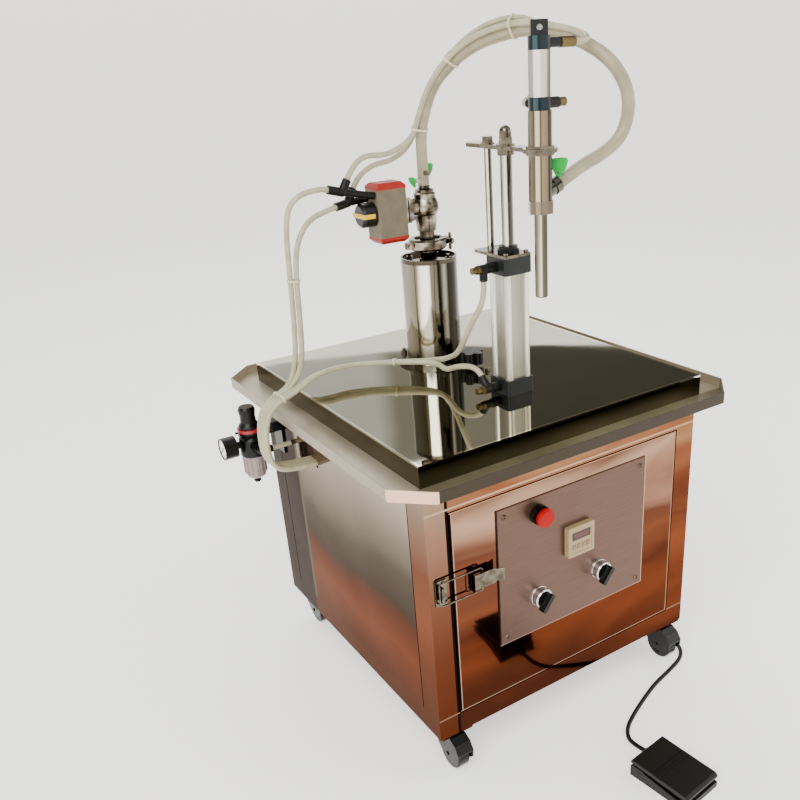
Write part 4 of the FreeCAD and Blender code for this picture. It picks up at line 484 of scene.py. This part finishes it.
# Actuator: die-cast aluminium box in warm grey paint between two red moulded
# covers, with a black position cap whose raised bar is yellow.
dress(moulded("actuator_grey_paint", "#625946", 0.5, 0.5, 0.3, specular_ior_level=0.3), "actuator_body")
dress(moulded("actuator_cover_red_abs", "#8c1608", 0.42, specular_ior_level=0.3), "actuator_covers")
cap_abs, tree, shader, spot = finish("position_cap_black_abs", roughness=0.3, specular_ior_level=0.35)
grained(tree, shader, spot, 0.6, 0.1)
split = node(tree, "ShaderNodeSeparateXYZ", {"Vector": spot})
CAP_AXIS = (HX - 110, HY + 80, 739)
over_y = times(tree, split.outputs["Y"], CAP_AXIS[1] / 1000, "SUBTRACT")
over_z = times(tree, split.outputs["Z"], CAP_AXIS[2] / 1000, "SUBTRACT")
reach = node(tree, "ShaderNodeMath", {0: times(tree, over_y, over_y), 1: times(tree, over_z, over_z)},
             operation="ADD")
proud = times(tree, times(tree, reach.outputs[0], 0.5, "POWER"), 0.01755, "GREATER_THAN")
faced = times(tree, split.outputs["X"], (HX - 118.85) / 1000, "LESS_THAN")
bar = times(tree, within_band(tree, split.outputs["Z"], 735.6, 742.4), times(tree, proud, faced, "MAXIMUM"))
colour = node(tree, "ShaderNodeRGB").outputs[0]
colour.default_value = tone("#0b0a08")
tree.links.new(over(tree, colour, bar, "#e0b000"), shader.inputs["Base Color"])
dress(cap_abs, "position_cap")

# Branch and push-in fittings: black nylon bodies, and dull nickel-plated brass
# speed controls on the lift cylinder.
dress(moulded("fitting_black_nylon", "#070706", 0.36, specular_ior_level=0.22), "black_fittings", "head_fittings")
dress(moulded("dull_plated_brass", "#5c4f30", 0.34, 1.0, 0.1, metallic=1.0), "brass_fittings", "head_brass")

# Lift cylinder: drawn aluminium barrel with rounded corner ribs, clear anodised, between
# cast caps in slate grey, and hard chromed rods. The barrel's soft white sheen and the rods'
# shine are painted reflection bands round each axis.
anodised, tree, shader, spot = finish("clear_anodised_barrel", metallic=0.9, roughness=0.28)
drawn = node(tree, "ShaderNodeMapping", {"Vector": spot, "Scale": (900.0, 900.0, 4.0)})
lines = node(tree, "ShaderNodeTexNoise", {"Vector": drawn.outputs[0], "Scale": 1.0, "Detail": 2.0})
from_axis = node(tree, "ShaderNodeVectorMath", {0: spot, 1: at(-1.5, -122.5, 0)}, operation="SUBTRACT")
side = node(tree, "ShaderNodeVectorMath", {0: from_axis.outputs[0], 1: (0.806, -0.592, 0.0)}, operation="DOT_PRODUCT")
share = node(tree, "ShaderNodeMapRange", {"Value": side.outputs["Value"], "From Min": -0.029, "From Max": 0.029})
# Painted reflection bands with bright painted highlights, times the drawn lines.
bands = blended(tree, share.outputs[0], [(0.0, "#85827a"), (0.08, "#fbf9ee"), (0.14, "#fbf9ee"), (0.2, "#a9a59b"),
                                         (0.44, "#cbc4b8"), (0.47, "#f5efe0"), (0.53, "#e5dfce"), (0.57, "#a8a395"),
                                         (0.84, "#948f80"), (0.9, "#fffbe9"), (0.95, "#f0edd7"), (0.97, "#3f3b2c")])
thread = blended(tree, lines.outputs["Fac"], [(0.3, "#e4e4e4"), (0.7, "#ffffff")])
tinted = node(tree, "ShaderNodeMix", {"Factor": 1.0, 6: bands, 7: thread}, data_type="RGBA", blend_type="MULTIPLY")
tree.links.new(tinted.outputs[2], shader.inputs["Base Color"])
dress(anodised, "lift_barrel", "inner_air_parts")
dress(moulded("cast_cap_slate_paint", "#191c1b", 0.4, 0.5, 0.25, specular_ior_level=0.25), "lift_caps")
rod_chrome, tree, shader, spot = finish("hard_chromed_rods", metallic=1.0, roughness=0.08)
split = node(tree, "ShaderNodeSeparateXYZ", {"Vector": spot})
guide = times(tree, split.outputs["Y"], (HY - 100) / 1000, "GREATER_THAN")
centre = node(tree, "ShaderNodeMix", {"Factor": guide, 4: at(-1.5, -122.5, 0), 5: at(-1.5, -82, 0)},
              data_type="VECTOR")
from_axis = node(tree, "ShaderNodeVectorMath", {0: spot, 1: centre.outputs[1]}, operation="SUBTRACT")
side = node(tree, "ShaderNodeVectorMath", {0: from_axis.outputs[0], 1: (0.806, -0.592, 0.0)}, operation="DOT_PRODUCT")
width = node(tree, "ShaderNodeMapRange", {"Value": guide, "To Min": 0.008, "To Max": 0.005})
share = node(tree, "ShaderNodeMapRange", {"Value": times(tree, side.outputs["Value"], width.outputs[0], "DIVIDE"),
                                          "From Min": -1.0, "From Max": 1.0})
# Painted reflection bands round each rod, with a bright painted highlight.
tree.links.new(blended(tree, share.outputs[0], [(0.0, "#76746a"), (0.2, "#8d8b7e"), (0.3, "#f6f1e4"),
                                                (0.48, "#fffdf4"),
                                                (0.56, "#5b564c"), (0.8, "#4a463e"), (1.0, "#8a8983")]),
               shader.inputs["Base Color"])
dress(rod_chrome, "lift_rods")

# Filling head: a slim air cylinder with clear anodised barrel and dark teal caps
# on a polished stainless tube, with a hexagon nut and the bright nozzle below.
# The tube, barrel and caps carry painted reflection bands round the head's axis.
HEAD_ACROSS = (0.783, -0.622)
tube_steel, tree, shader, spot = finish("mirror_polished_head_tube", metallic=1.0, roughness=0.09)
split = node(tree, "ShaderNodeSeparateXYZ", {"Vector": spot})
from_axis = node(tree, "ShaderNodeVectorMath", {0: spot, 1: at(-1.5, -194, 0)}, operation="SUBTRACT")
side = node(tree, "ShaderNodeVectorMath", {0: from_axis.outputs[0], 1: (*HEAD_ACROSS, 0.0)}, operation="DOT_PRODUCT")
below = times(tree, split.outputs["Z"], 0.758, "LESS_THAN")
width = node(tree, "ShaderNodeMapRange", {"Value": below, "To Min": 0.0148, "To Max": 0.0084})
share = node(tree, "ShaderNodeMapRange", {"Value": times(tree, side.outputs["Value"], width.outputs[0], "DIVIDE"),
                                          "From Min": -1.0, "From Max": 1.0})
# Painted reflection bands round the tube, above and below the nut.
upper = blended(tree, share.outputs[0], [(0.0, "#5d5340"), (0.12, "#776c57"), (0.27, "#584e3f"), (0.33, "#e8d8bd"),
                                         (0.47, "#d9c6a9"), (0.52, "#2f2314"), (0.58, "#948268"), (0.8, "#7d705c"),
                                         (0.86, "#2f2b1c"), (1.0, "#5f5e54")])
lower = blended(tree, share.outputs[0], [(0.0, "#4f4b3d"), (0.2, "#716a5a"), (0.38, "#b3ab97"), (0.52, "#efe7d2"),
                                         (0.6, "#67624f"), (0.8, "#504c3d"), (1.0, "#4b473d")])
nut_zone = within_band(tree, split.outputs["Z"], 758, 774)
tube_tone = node(tree, "ShaderNodeMix", {"Factor": below, 6: upper, 7: lower}, data_type="RGBA").outputs[2]
tree.links.new(over(tree, tube_tone, times(tree, nut_zone, 0.75), "#77695c"), shader.inputs["Base Color"])
dress(tube_steel, "head_tube", "head_plunger")
dress(banded("anodised_head_barrel", -1.5, -194, 13.4, HEAD_ACROSS, [
    (0.0, "#8d8881"), (0.2, "#a29c93"), (0.27, "#fffdf7"), (0.5, "#fffcf2"), (0.56, "#dcd9c4"), (0.78, "#c9c7b4"),
    (0.86, "#6a675c"), (1.0, "#57544a")], 0.2, 0.9), "head_barrel")
dress(banded("anodised_teal_caps", -1.5, -194, 13.9, HEAD_ACROSS, [
    (0.0, "#0a1112"), (0.2, "#0a1213"), (0.26, "#375254"), (0.42, "#2c4446"), (0.46, "#040707"), (0.56, "#0c1517"),
    (0.6, "#16262b"), (0.78, "#101d22"), (0.84, "#040707"), (1.0, "#040707")], 0.3, 0.6, flat_top=960,
    top_code="#181c1c"), "head_caps")

# Cap screw in the front of the square block on the head. Each ring has its
# radius and its height over the block's face in millimetres, and its corners:
# first the hexagon socket, then the rounded rim.
SCREW_AT = (-1.5, -194, 968.5)
BLOCK_HALF = 10
SCREW_RINGS = ((1.5, 0.3, 6), (1.5, 1.2, 6), (3.0, 1.2, 24), (3.5, 0.7, 24), (3.5, -0.4, 24))
screw_out = Vector((-0.559, -0.829, 0)).normalized()
screw_side = screw_out.cross(Vector((0, 0, 1)))
screw_mesh = bpy.data.meshes.new("head_block_screw")
shape = bmesh.new()
turns = [math.pi * k / 12 for k in range(24)]
rows = []
for radius, out, sides in SCREW_RINGS:
    fit = [math.cos(math.pi / sides) / math.cos((a % (2 * math.pi / sides)) - math.pi / sides) for a in turns]
    rows.append([shape.verts.new(at(*SCREW_AT) + screw_out * ((BLOCK_HALF + out) / 1000) +
                                 (screw_side * math.cos(a) + Vector((0, 0, math.sin(a)))) * (radius * f / 1000))
                 for a, f in zip(turns, fit)])
for first, second in zip(rows, rows[1:]):
    for k in range(24):
        shape.faces.new((first[k], first[(k + 1) % 24], second[(k + 1) % 24], second[k]))
shape.faces.new(rows[0])
shape.faces.new(rows[-1])
bmesh.ops.recalc_face_normals(shape, faces=shape.faces)
shape.to_mesh(screw_mesh)
shape.free()
# Zinc plating is pale, greyish and a little dull.
screw_mesh.materials.append(moulded("zinc_plated_screw", "#8f8b84", 0.35, 1.0, 0.1, metallic=1.0))
screw = bpy.data.objects.new("head_block_screw", screw_mesh)
bpy.context.scene.collection.objects.link(screw)
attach(screw, "lift_carriage")

# Clamp wings: green moulded wings of the hose clamps, pinched by hand. Each is a
# rounded fan, thin at its foot where it meets the clamp screw.
wing_green = moulded("wing_green_nylon", "#009a34", 0.34, specular_ior_level=0.2)


def wing(name, foot, top, width_mm, thick_mm, body, replaced, across):
    foot, top, across = at(*foot), at(*top), Vector((*across, 0)).normalized()
    rise = top - foot
    facing = across.cross(rise).normalized()
    outline = [(-0.12, 0.0), (0.12, 0.0), (0.42, 0.45), (0.5, 0.8), (0.44, 1.0), (0.1, 1.03), (-0.44, 1.0),
               (-0.5, 0.8), (-0.42, 0.45)]
    mesh = bpy.data.meshes.new(name)
    shape = bmesh.new()
    rows = [[shape.verts.new(foot + rise * v + across * (u * width_mm / 1000) + facing * (s * thick_mm / 2000))
             for u, v in outline] for s in (-1, 1)]
    shape.faces.new(rows[0])
    shape.faces.new(rows[1])
    for k in range(len(outline)):
        follow = (k + 1) % len(outline)
        shape.faces.new((rows[0][k], rows[0][follow], rows[1][follow], rows[1][k]))
    bmesh.ops.bevel(shape, geom=shape.edges[:], offset=thick_mm / 5000, segments=3, affect="EDGES")
    bmesh.ops.recalc_face_normals(shape, faces=shape.faces)
    shape.to_mesh(mesh)
    shape.free()
    mesh.materials.append(wing_green)
    made = bpy.data.objects.new(name, mesh)
    bpy.context.scene.collection.objects.link(made)
    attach(made, body)
    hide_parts(replaced)


wing("head_clamp_wing", (25.5, -196, 799), (28.5, -196, 821.5), 21, 3.2, "lift_carriage", "head_wing", HEAD_ACROSS)
wing("valve_clamp_wing_left", (-25, 74, 768.5), (-31, 74, 783.5), 10, 3.0, "machine", "clamp_wings", (0.857, -0.516))
wing("valve_clamp_wing_right", (4, 80, 782), (5.5, 80, 799.5), 12, 3.0, "machine", "clamp_wings", (0.857, -0.516))

# Air tubes and product hose: extruded plastic, pushed on at both ends. Geometry
# Nodes run a round section along each line and close its ends.
# Milky polyurethane looks pale and soft, as light spreads inside its wall.
tube_milky = moulded("milky_polyurethane", "#aea88a", 0.24, 4.0, 0.03, transmission_weight=0.18, ior=1.45)
# Clear PVC with nothing in it looks greyish brown, with a bright line along it.
hose_clear = moulded("clear_pvc_hose", "#a1977b", 0.14, 4.0, 0.03, transmission_weight=0.35, ior=1.42)


def socket(tree, name, kind, direction="INPUT"):
    return tree.interface.new_socket(name, in_out=direction, socket_type=kind)


def node_tree(name, *inputs):
    tree = bpy.data.node_groups.new(name, "GeometryNodeTree")
    socket(tree, "Geometry", "NodeSocketGeometry", "OUTPUT")
    socket(tree, "Geometry", "NodeSocketGeometry")
    for label, kind in inputs:
        socket(tree, label, kind)
    return tree, node(tree, "NodeGroupInput").outputs


def close_tree(tree, geometry, material):
    real = node(tree, "GeometryNodeRealizeInstances", {"Geometry": geometry})
    coated = node(tree, "GeometryNodeSetMaterial", {"Geometry": real.outputs[0], "Material": material})
    node(tree, "NodeGroupOutput", {"Geometry": coated.outputs[0]})


# Runs a tree on a host object and keeps the result as a plain closed mesh.
def grown(name, host, tree, **values):
    modifier = host.modifiers.new(tree.name, "NODES")
    modifier.node_group = tree
    known = {item.name: item.identifier for item in tree.interface.items_tree if item.in_out == "INPUT"}
    for label, value in values.items():
        modifier[known[label.replace("_", " ").title()]] = value
    bpy.context.view_layer.update()
    graph = bpy.context.evaluated_depsgraph_get()
    mesh = bpy.data.meshes.new_from_object(host.evaluated_get(graph), preserve_all_data_layers=True, depsgraph=graph)
    bpy.data.objects.remove(host)
    shape = bmesh.new()
    shape.from_mesh(mesh)
    bmesh.ops.recalc_face_normals(shape, faces=shape.faces)
    shape.to_mesh(mesh)
    shape.free()
    mesh.name = name
    made = bpy.data.objects.new(name, mesh)
    bpy.context.scene.collection.objects.link(made)
    return made


tube_tree, given = node_tree("tube_along_line", ("Radius", "NodeSocketFloat"), ("Step", "NodeSocketFloat"),
                             ("Sides", "NodeSocketInt"), ("Plastic", "NodeSocketMaterial"))
even = node(tube_tree, "GeometryNodeResampleCurve", {"Curve": given["Geometry"], "Length": given["Step"]},
            mode="LENGTH")
section = node(tube_tree, "GeometryNodeCurvePrimitiveCircle", {"Resolution": given["Sides"],
                                                               "Radius": given["Radius"]})
pipe = node(tube_tree, "GeometryNodeCurveToMesh", {"Curve": even.outputs[0], "Profile Curve": section.outputs[0],
                                                   "Fill Caps": True})
soft = node(tube_tree, "GeometryNodeSetShadeSmooth", {"Geometry": pipe.outputs[0]})
close_tree(tube_tree, soft.outputs[0], given["Plastic"])


# The points of a line as the spline really runs, for the ties around it.
def points_of(name, points):
    curve = line_along(name, points)
    bpy.context.view_layer.update()
    mesh = bpy.data.meshes.new_from_object(curve.evaluated_get(bpy.context.evaluated_depsgraph_get()))
    bpy.data.objects.remove(curve)
    return [v.co.copy() for v in mesh.vertices]


def over_lip(y):
    return [(-230, y, 384), (-288, y, 384), (-312, y, 405), (-313, y, 455), (-299, y, 492), (-256, y, 506)]


AIR_TUBES = {
    "air_tube_branch_left": over_lip(92.8) + [(-243, 88, 540), (-238, 84.5, 600), (-235.5, 83, 673), (-232, 82, 748),
                                              (-218, 79, 777), (-181, 74, 786), (-166, 75, 782)],
    "air_tube_branch_right": over_lip(84.2) + [(-235, 81, 540), (-230.5, 79.5, 600), (-228, 78.5, 673),
                                               (-221, 79, 715),
                                               (-200, 80, 744), (-166, 85, 753), (-150, 88, 755)],
    "air_tube_lift_up": over_lip(75.8) + [(-217, 79, 522), (-150, 84, 521), (-48, 9, 522), (-50, -38, 539),
                                          (-64, -84, 562), (-58, -112, 612), (-44, -122.5, 640),
                                          (-44, -122.5, 666)],
    "air_tube_lift_down": over_lip(67.2) + [(-222, 69, 525), (-157, 75, 525), (-55, 1, 525), (-60, -40, 521),
                                            (-62, -74, 538), (-44, -98, 538), (-44, -108.5, 526.5)],
    "air_tube_feed": [(-272, 165, 386), (-256, 165, 386), (-236, 165, 386), (-226, 165, 386)],
}
HOSE = [(-6, 80, 770), (-6, 80, 798), (-6, 80, 836), (-5, 71, 866), (1, 51, 907), (16, 17, 937),
        (32.5, -17, 956), (49, -56, 966), (64, -91, 970), (79, -121, 966), (95, -155, 954), (115, -187, 932),
        (130, -203, 902), (136, -205, 870),
        (126, -202, 838), (101, -196, 820), (68, -194, 809), (48, -194, 800.2), (27, -194, 791)]
TUBE_UP = [(-134, 76, 792), (-126, 76, 806), (-104, 77, 822), (-70, 77, 818), (-38, 78, 828), (-19, 77, 842),
           (-16, 67, 867), (-10, 46, 906), (4, 14, 941), (22, -19, 963), (40, -58, 975), (55, -95, 978),
           (72, -128, 972), (90, -160, 963), (84, -190, 952), (44, -194, 952)]
TUBE_DOWN = [(-118, 92, 777), (-110, 92, 791), (-84, 92, 806), (-52, 93, 808), (-26, 94, 820), (-9, 92, 842),
             (-3, 83, 870), (6, 61, 913), (19, 26, 946), (29, -13, 970), (45.5, -54, 984), (68, -89, 983),
             (70, -110, 962), (56, -131, 932), (36, -146, 906), (14, -153, 889), (-2, -160, 886.5),
             (-2, -172, 886.5)]
HEAD_LINES = {"product_hose_line": (8.5, hose_clear, "hose_plastic", "product_hose", HOSE),
              "head_tube_upper": (4.0, tube_milky, "tube_plastic", "head_air_tubes", TUBE_UP),
              "head_tube_lower": (4.0, tube_milky, "tube_plastic", "head_air_tubes", TUBE_DOWN)}
for name, points in AIR_TUBES.items():
    piece = grown(name, line_along(name + "_line", points), tube_tree, radius=0.004, step=0.005, sides=20,
                  plastic=tube_milky)
    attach(piece, "machine")
    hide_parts("air_tubes")
for name, (radius, made_of, slot_name, replaced, points) in HEAD_LINES.items():
    piece = grown(name, line_along(name + "_line", points), tube_tree, radius=radius / 1000, step=0.005, sides=28,
                  plastic=made_of)
    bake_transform(piece)
    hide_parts(replaced)

# Cable ties: natural nylon straps pulled tight round the tubes, each with a small
# square lock. Geometry Nodes run the strap's section round each loop.
TIE_WIDE, TIE_THICK, LOCK = 0.0035, 0.0011, (0.0046, 0.0046, 0.0036)
# Natural nylon looks cream and slightly waxy.
tie_nylon = moulded("natural_nylon_tie", "#c9bd9c", 0.4)
tie_tree, given = node_tree("strap_round_tubes", ("Width", "NodeSocketFloat"), ("Thickness", "NodeSocketFloat"),
                            ("Lock Size", "NodeSocketVector"), ("Nylon", "NodeSocketMaterial"))
along = node(tie_tree, "GeometryNodeInputNamedAttribute", {"Name": "tie_way"}, data_type="FLOAT_VECTOR")
first = node(tie_tree, "GeometryNodeInputNamedAttribute", {"Name": "tie_lock"}, data_type="BOOLEAN")
loop = node(tie_tree, "GeometryNodeMeshToCurve", {"Mesh": given["Geometry"]})
aimed = node(tie_tree, "GeometryNodeSetCurveNormal", {"Curve": loop.outputs[0], "Normal": along.outputs[0]},
             mode="FREE")
section = node(tie_tree, "GeometryNodeCurvePrimitiveQuadrilateral", {"Width": given["Width"],
                                                                     "Height": given["Thickness"]})
strap = node(tie_tree, "GeometryNodeCurveToMesh", {"Curve": aimed.outputs[0], "Profile Curve": section.outputs[0]})
block = node(tie_tree, "GeometryNodeMeshCube", {"Size": given["Lock Size"]})
facing = node(tie_tree, "FunctionNodeAlignRotationToVector", {"Vector": along.outputs[0]}, axis="X")
locks = node(tie_tree, "GeometryNodeInstanceOnPoints", {"Points": given["Geometry"], "Selection": first.outputs[0],
                                                        "Instance": block.outputs[0], "Rotation": facing.outputs[0]})
both = node(tie_tree, "GeometryNodeJoinGeometry")
tie_tree.links.new(strap.outputs[0], both.inputs[0])
tie_tree.links.new(locks.outputs[0], both.inputs[0])
close_tree(tie_tree, both.outputs[0], given["Nylon"])


# Where each line crosses the plane of a tie, near its middle.
def crossings(lines, middle, way):
    found = []
    for points in lines:
        near = min(points, key=lambda p: (p - middle).length)
        place = points.index(near)
        close = points[max(0, place - 3):place + 4]
        a, b = min(zip(close, close[1:]), key=lambda pair: abs((pair[0] + pair[1] - middle * 2).dot(way)))
        run = (b - a).dot(way)
        share = (middle - a).dot(way) / run if abs(run) > 1e-9 else 0.5
        found.append(a.lerp(b, max(0.0, min(1.0, share))))
    return found


def tie_host(name, ties):
    places, edges, ways, locks = [], [], [], []
    for middle, radii, way, lines in ties:
        middle, way = at(*middle), Vector(way).normalized()
        u = way.cross(Vector((0.3, 0.9, 0.31))).normalized()
        w = way.cross(u)
        flat = []
        for centre, radius in zip(crossings(lines, middle, way), radii):
            off = centre - middle
            grow = radius / 1000 + 0.00025 + TIE_THICK / 2
            flat += [(off.dot(u) + grow * math.cos(a), off.dot(w) + grow * math.sin(a))
                     for a in [math.pi * k / 12 for k in range(24)]]
        hull = [flat[k] for k in convex_hull_2d(flat)]
        start = len(places)
        places += [middle + u * a + w * b for a, b in hull]
        edges += [(start + k, start + (k + 1) % len(hull)) for k in range(len(hull))]
        ways += [way] * len(hull)
        locks += [k == 0 for k in range(len(hull))]
    mesh = bpy.data.meshes.new(name)
    mesh.from_pydata(places, edges, [])
    mesh.attributes.new("tie_way", "FLOAT_VECTOR", "POINT").data.foreach_set("vector", [c for v in ways for c in v])
    mesh.attributes.new("tie_lock", "BOOLEAN", "POINT").data.foreach_set("value", locks)
    made = bpy.data.objects.new(name, mesh)
    bpy.context.scene.collection.objects.link(made)
    return made


run_of = {name: points_of(name, points) for name, points in AIR_TUBES.items()}
hose_run, up_run, down_run = points_of("hose", HOSE), points_of("up", TUBE_UP), points_of("down", TUBE_DOWN)
left_run, right_run = run_of["air_tube_branch_left"], run_of["air_tube_branch_right"]
rise_run, fall_run = run_of["air_tube_lift_up"], run_of["air_tube_lift_down"]
BENCH_TIES = [((-232, 81, 664), (4, 4), (0.045, 0, 1), (left_run, right_run)),
              ((-277.5, 80, 499), (4, 4, 4, 4), (43, 0, 14), (left_run, right_run, rise_run, fall_run)),
              ((-102, 42, 523), (4, 4), (102, -75, 1), (rise_run, fall_run))]
HEAD_TIES = [((-10, 80, 850), (8.5, 4, 4), (0.12, -0.3, 1), (hose_run, up_run, down_run)),
             ((12, 18, 939), (8.5, 4, 4), (0.32, -0.7, 0.6), (hose_run, up_run, down_run)),
             ((52, -72, 972), (8.5, 4, 4), (0.39, -0.9, 0.12), (hose_run, up_run, down_run))]
bench_ties = grown("cable_ties_bench", tie_host("bench_loops", BENCH_TIES), tie_tree, width=TIE_WIDE,
                   thickness=TIE_THICK, lock_size=LOCK, nylon=tie_nylon)
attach(bench_ties, "machine")
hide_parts("air_tubes")
head_ties = grown("cable_ties_head", tie_host("head_loops", HEAD_TIES), tie_tree, width=TIE_WIDE,
                  thickness=TIE_THICK, lock_size=LOCK, nylon=tie_nylon)
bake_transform(head_ties)
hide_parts("head_air_tubes")

# Air filter and regulator: black nylon body and tapered knob, a red lock ring, a
# gauge with a white dial, and a clear polycarbonate bowl with moulded ribs.
dress(moulded("regulator_black_nylon", "#060606", 0.3, specular_ior_level=0.25), "frl_body", "frl_knob",
      "gauge_needle")
dress(moulded("regulator_ring_red_abs", "#9a0a1c", 0.3), "frl_ring")
# The white dial glows faintly, painted light that keeps it bright.
dress(moulded("gauge_dial_white_glow", "#fbfbf8", 0.4, emission_color=tone("#ffffff"), emission_strength=0.25),
      "gauge_dial")
# Clear polycarbonate looks faintly pink, with milky folds where it is thick.
bowl_clear = moulded("clear_polycarbonate", "#b09c9a", 0.14, 6.0, 0.05, transmission_weight=0.4, ior=1.4)
dress(bowl_clear, "frl_bowl")
rib_tree, given = node_tree("ribs_round_bowl", ("Bowl Radius", "NodeSocketFloat"), ("Count", "NodeSocketInt"),
                            ("Rib Size", "NodeSocketVector"), ("Plastic", "NodeSocketMaterial"))
ring = node(rib_tree, "GeometryNodeMeshCircle", {"Vertices": given["Count"], "Radius": given["Bowl Radius"]})
rib = node(rib_tree, "GeometryNodeMeshCube", {"Size": given["Rib Size"]})
outward = node(rib_tree, "GeometryNodeInputPosition")
turned = node(rib_tree, "FunctionNodeAlignRotationToVector", {"Vector": outward.outputs[0]}, axis="X")
ribs = node(rib_tree, "GeometryNodeInstanceOnPoints", {"Points": ring.outputs[0], "Instance": rib.outputs[0],
                                                       "Rotation": turned.outputs[0]})
set_down = node(rib_tree, "GeometryNodeTransform", {"Geometry": ribs.outputs[0], "Translation": at(-290, 207, 348)})
close_tree(rib_tree, set_down.outputs[0], given["Plastic"])
seed_mesh = bpy.data.objects.new("bowl_middle", bpy.data.meshes.new("bowl_middle"))
bpy.context.scene.collection.objects.link(seed_mesh)
bowl_ribs = grown("filter_bowl_ribs", seed_mesh, rib_tree, bowl_radius=0.0178, count=14,
                  rib_size=(0.0022, 0.0018, 0.026), plastic=bowl_clear)
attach(bowl_ribs, "machine")

# Foot switch: a pressed steel base and treadle in black powder coat, hinged at
# the back and standing on the floor.
dress(moulded("powder_coat_black", "#0c0b08", 0.42, 0.8, 0.2, specular_ior_level=0.22), "pedal_base",
      "pedal_treadle")

low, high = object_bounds()
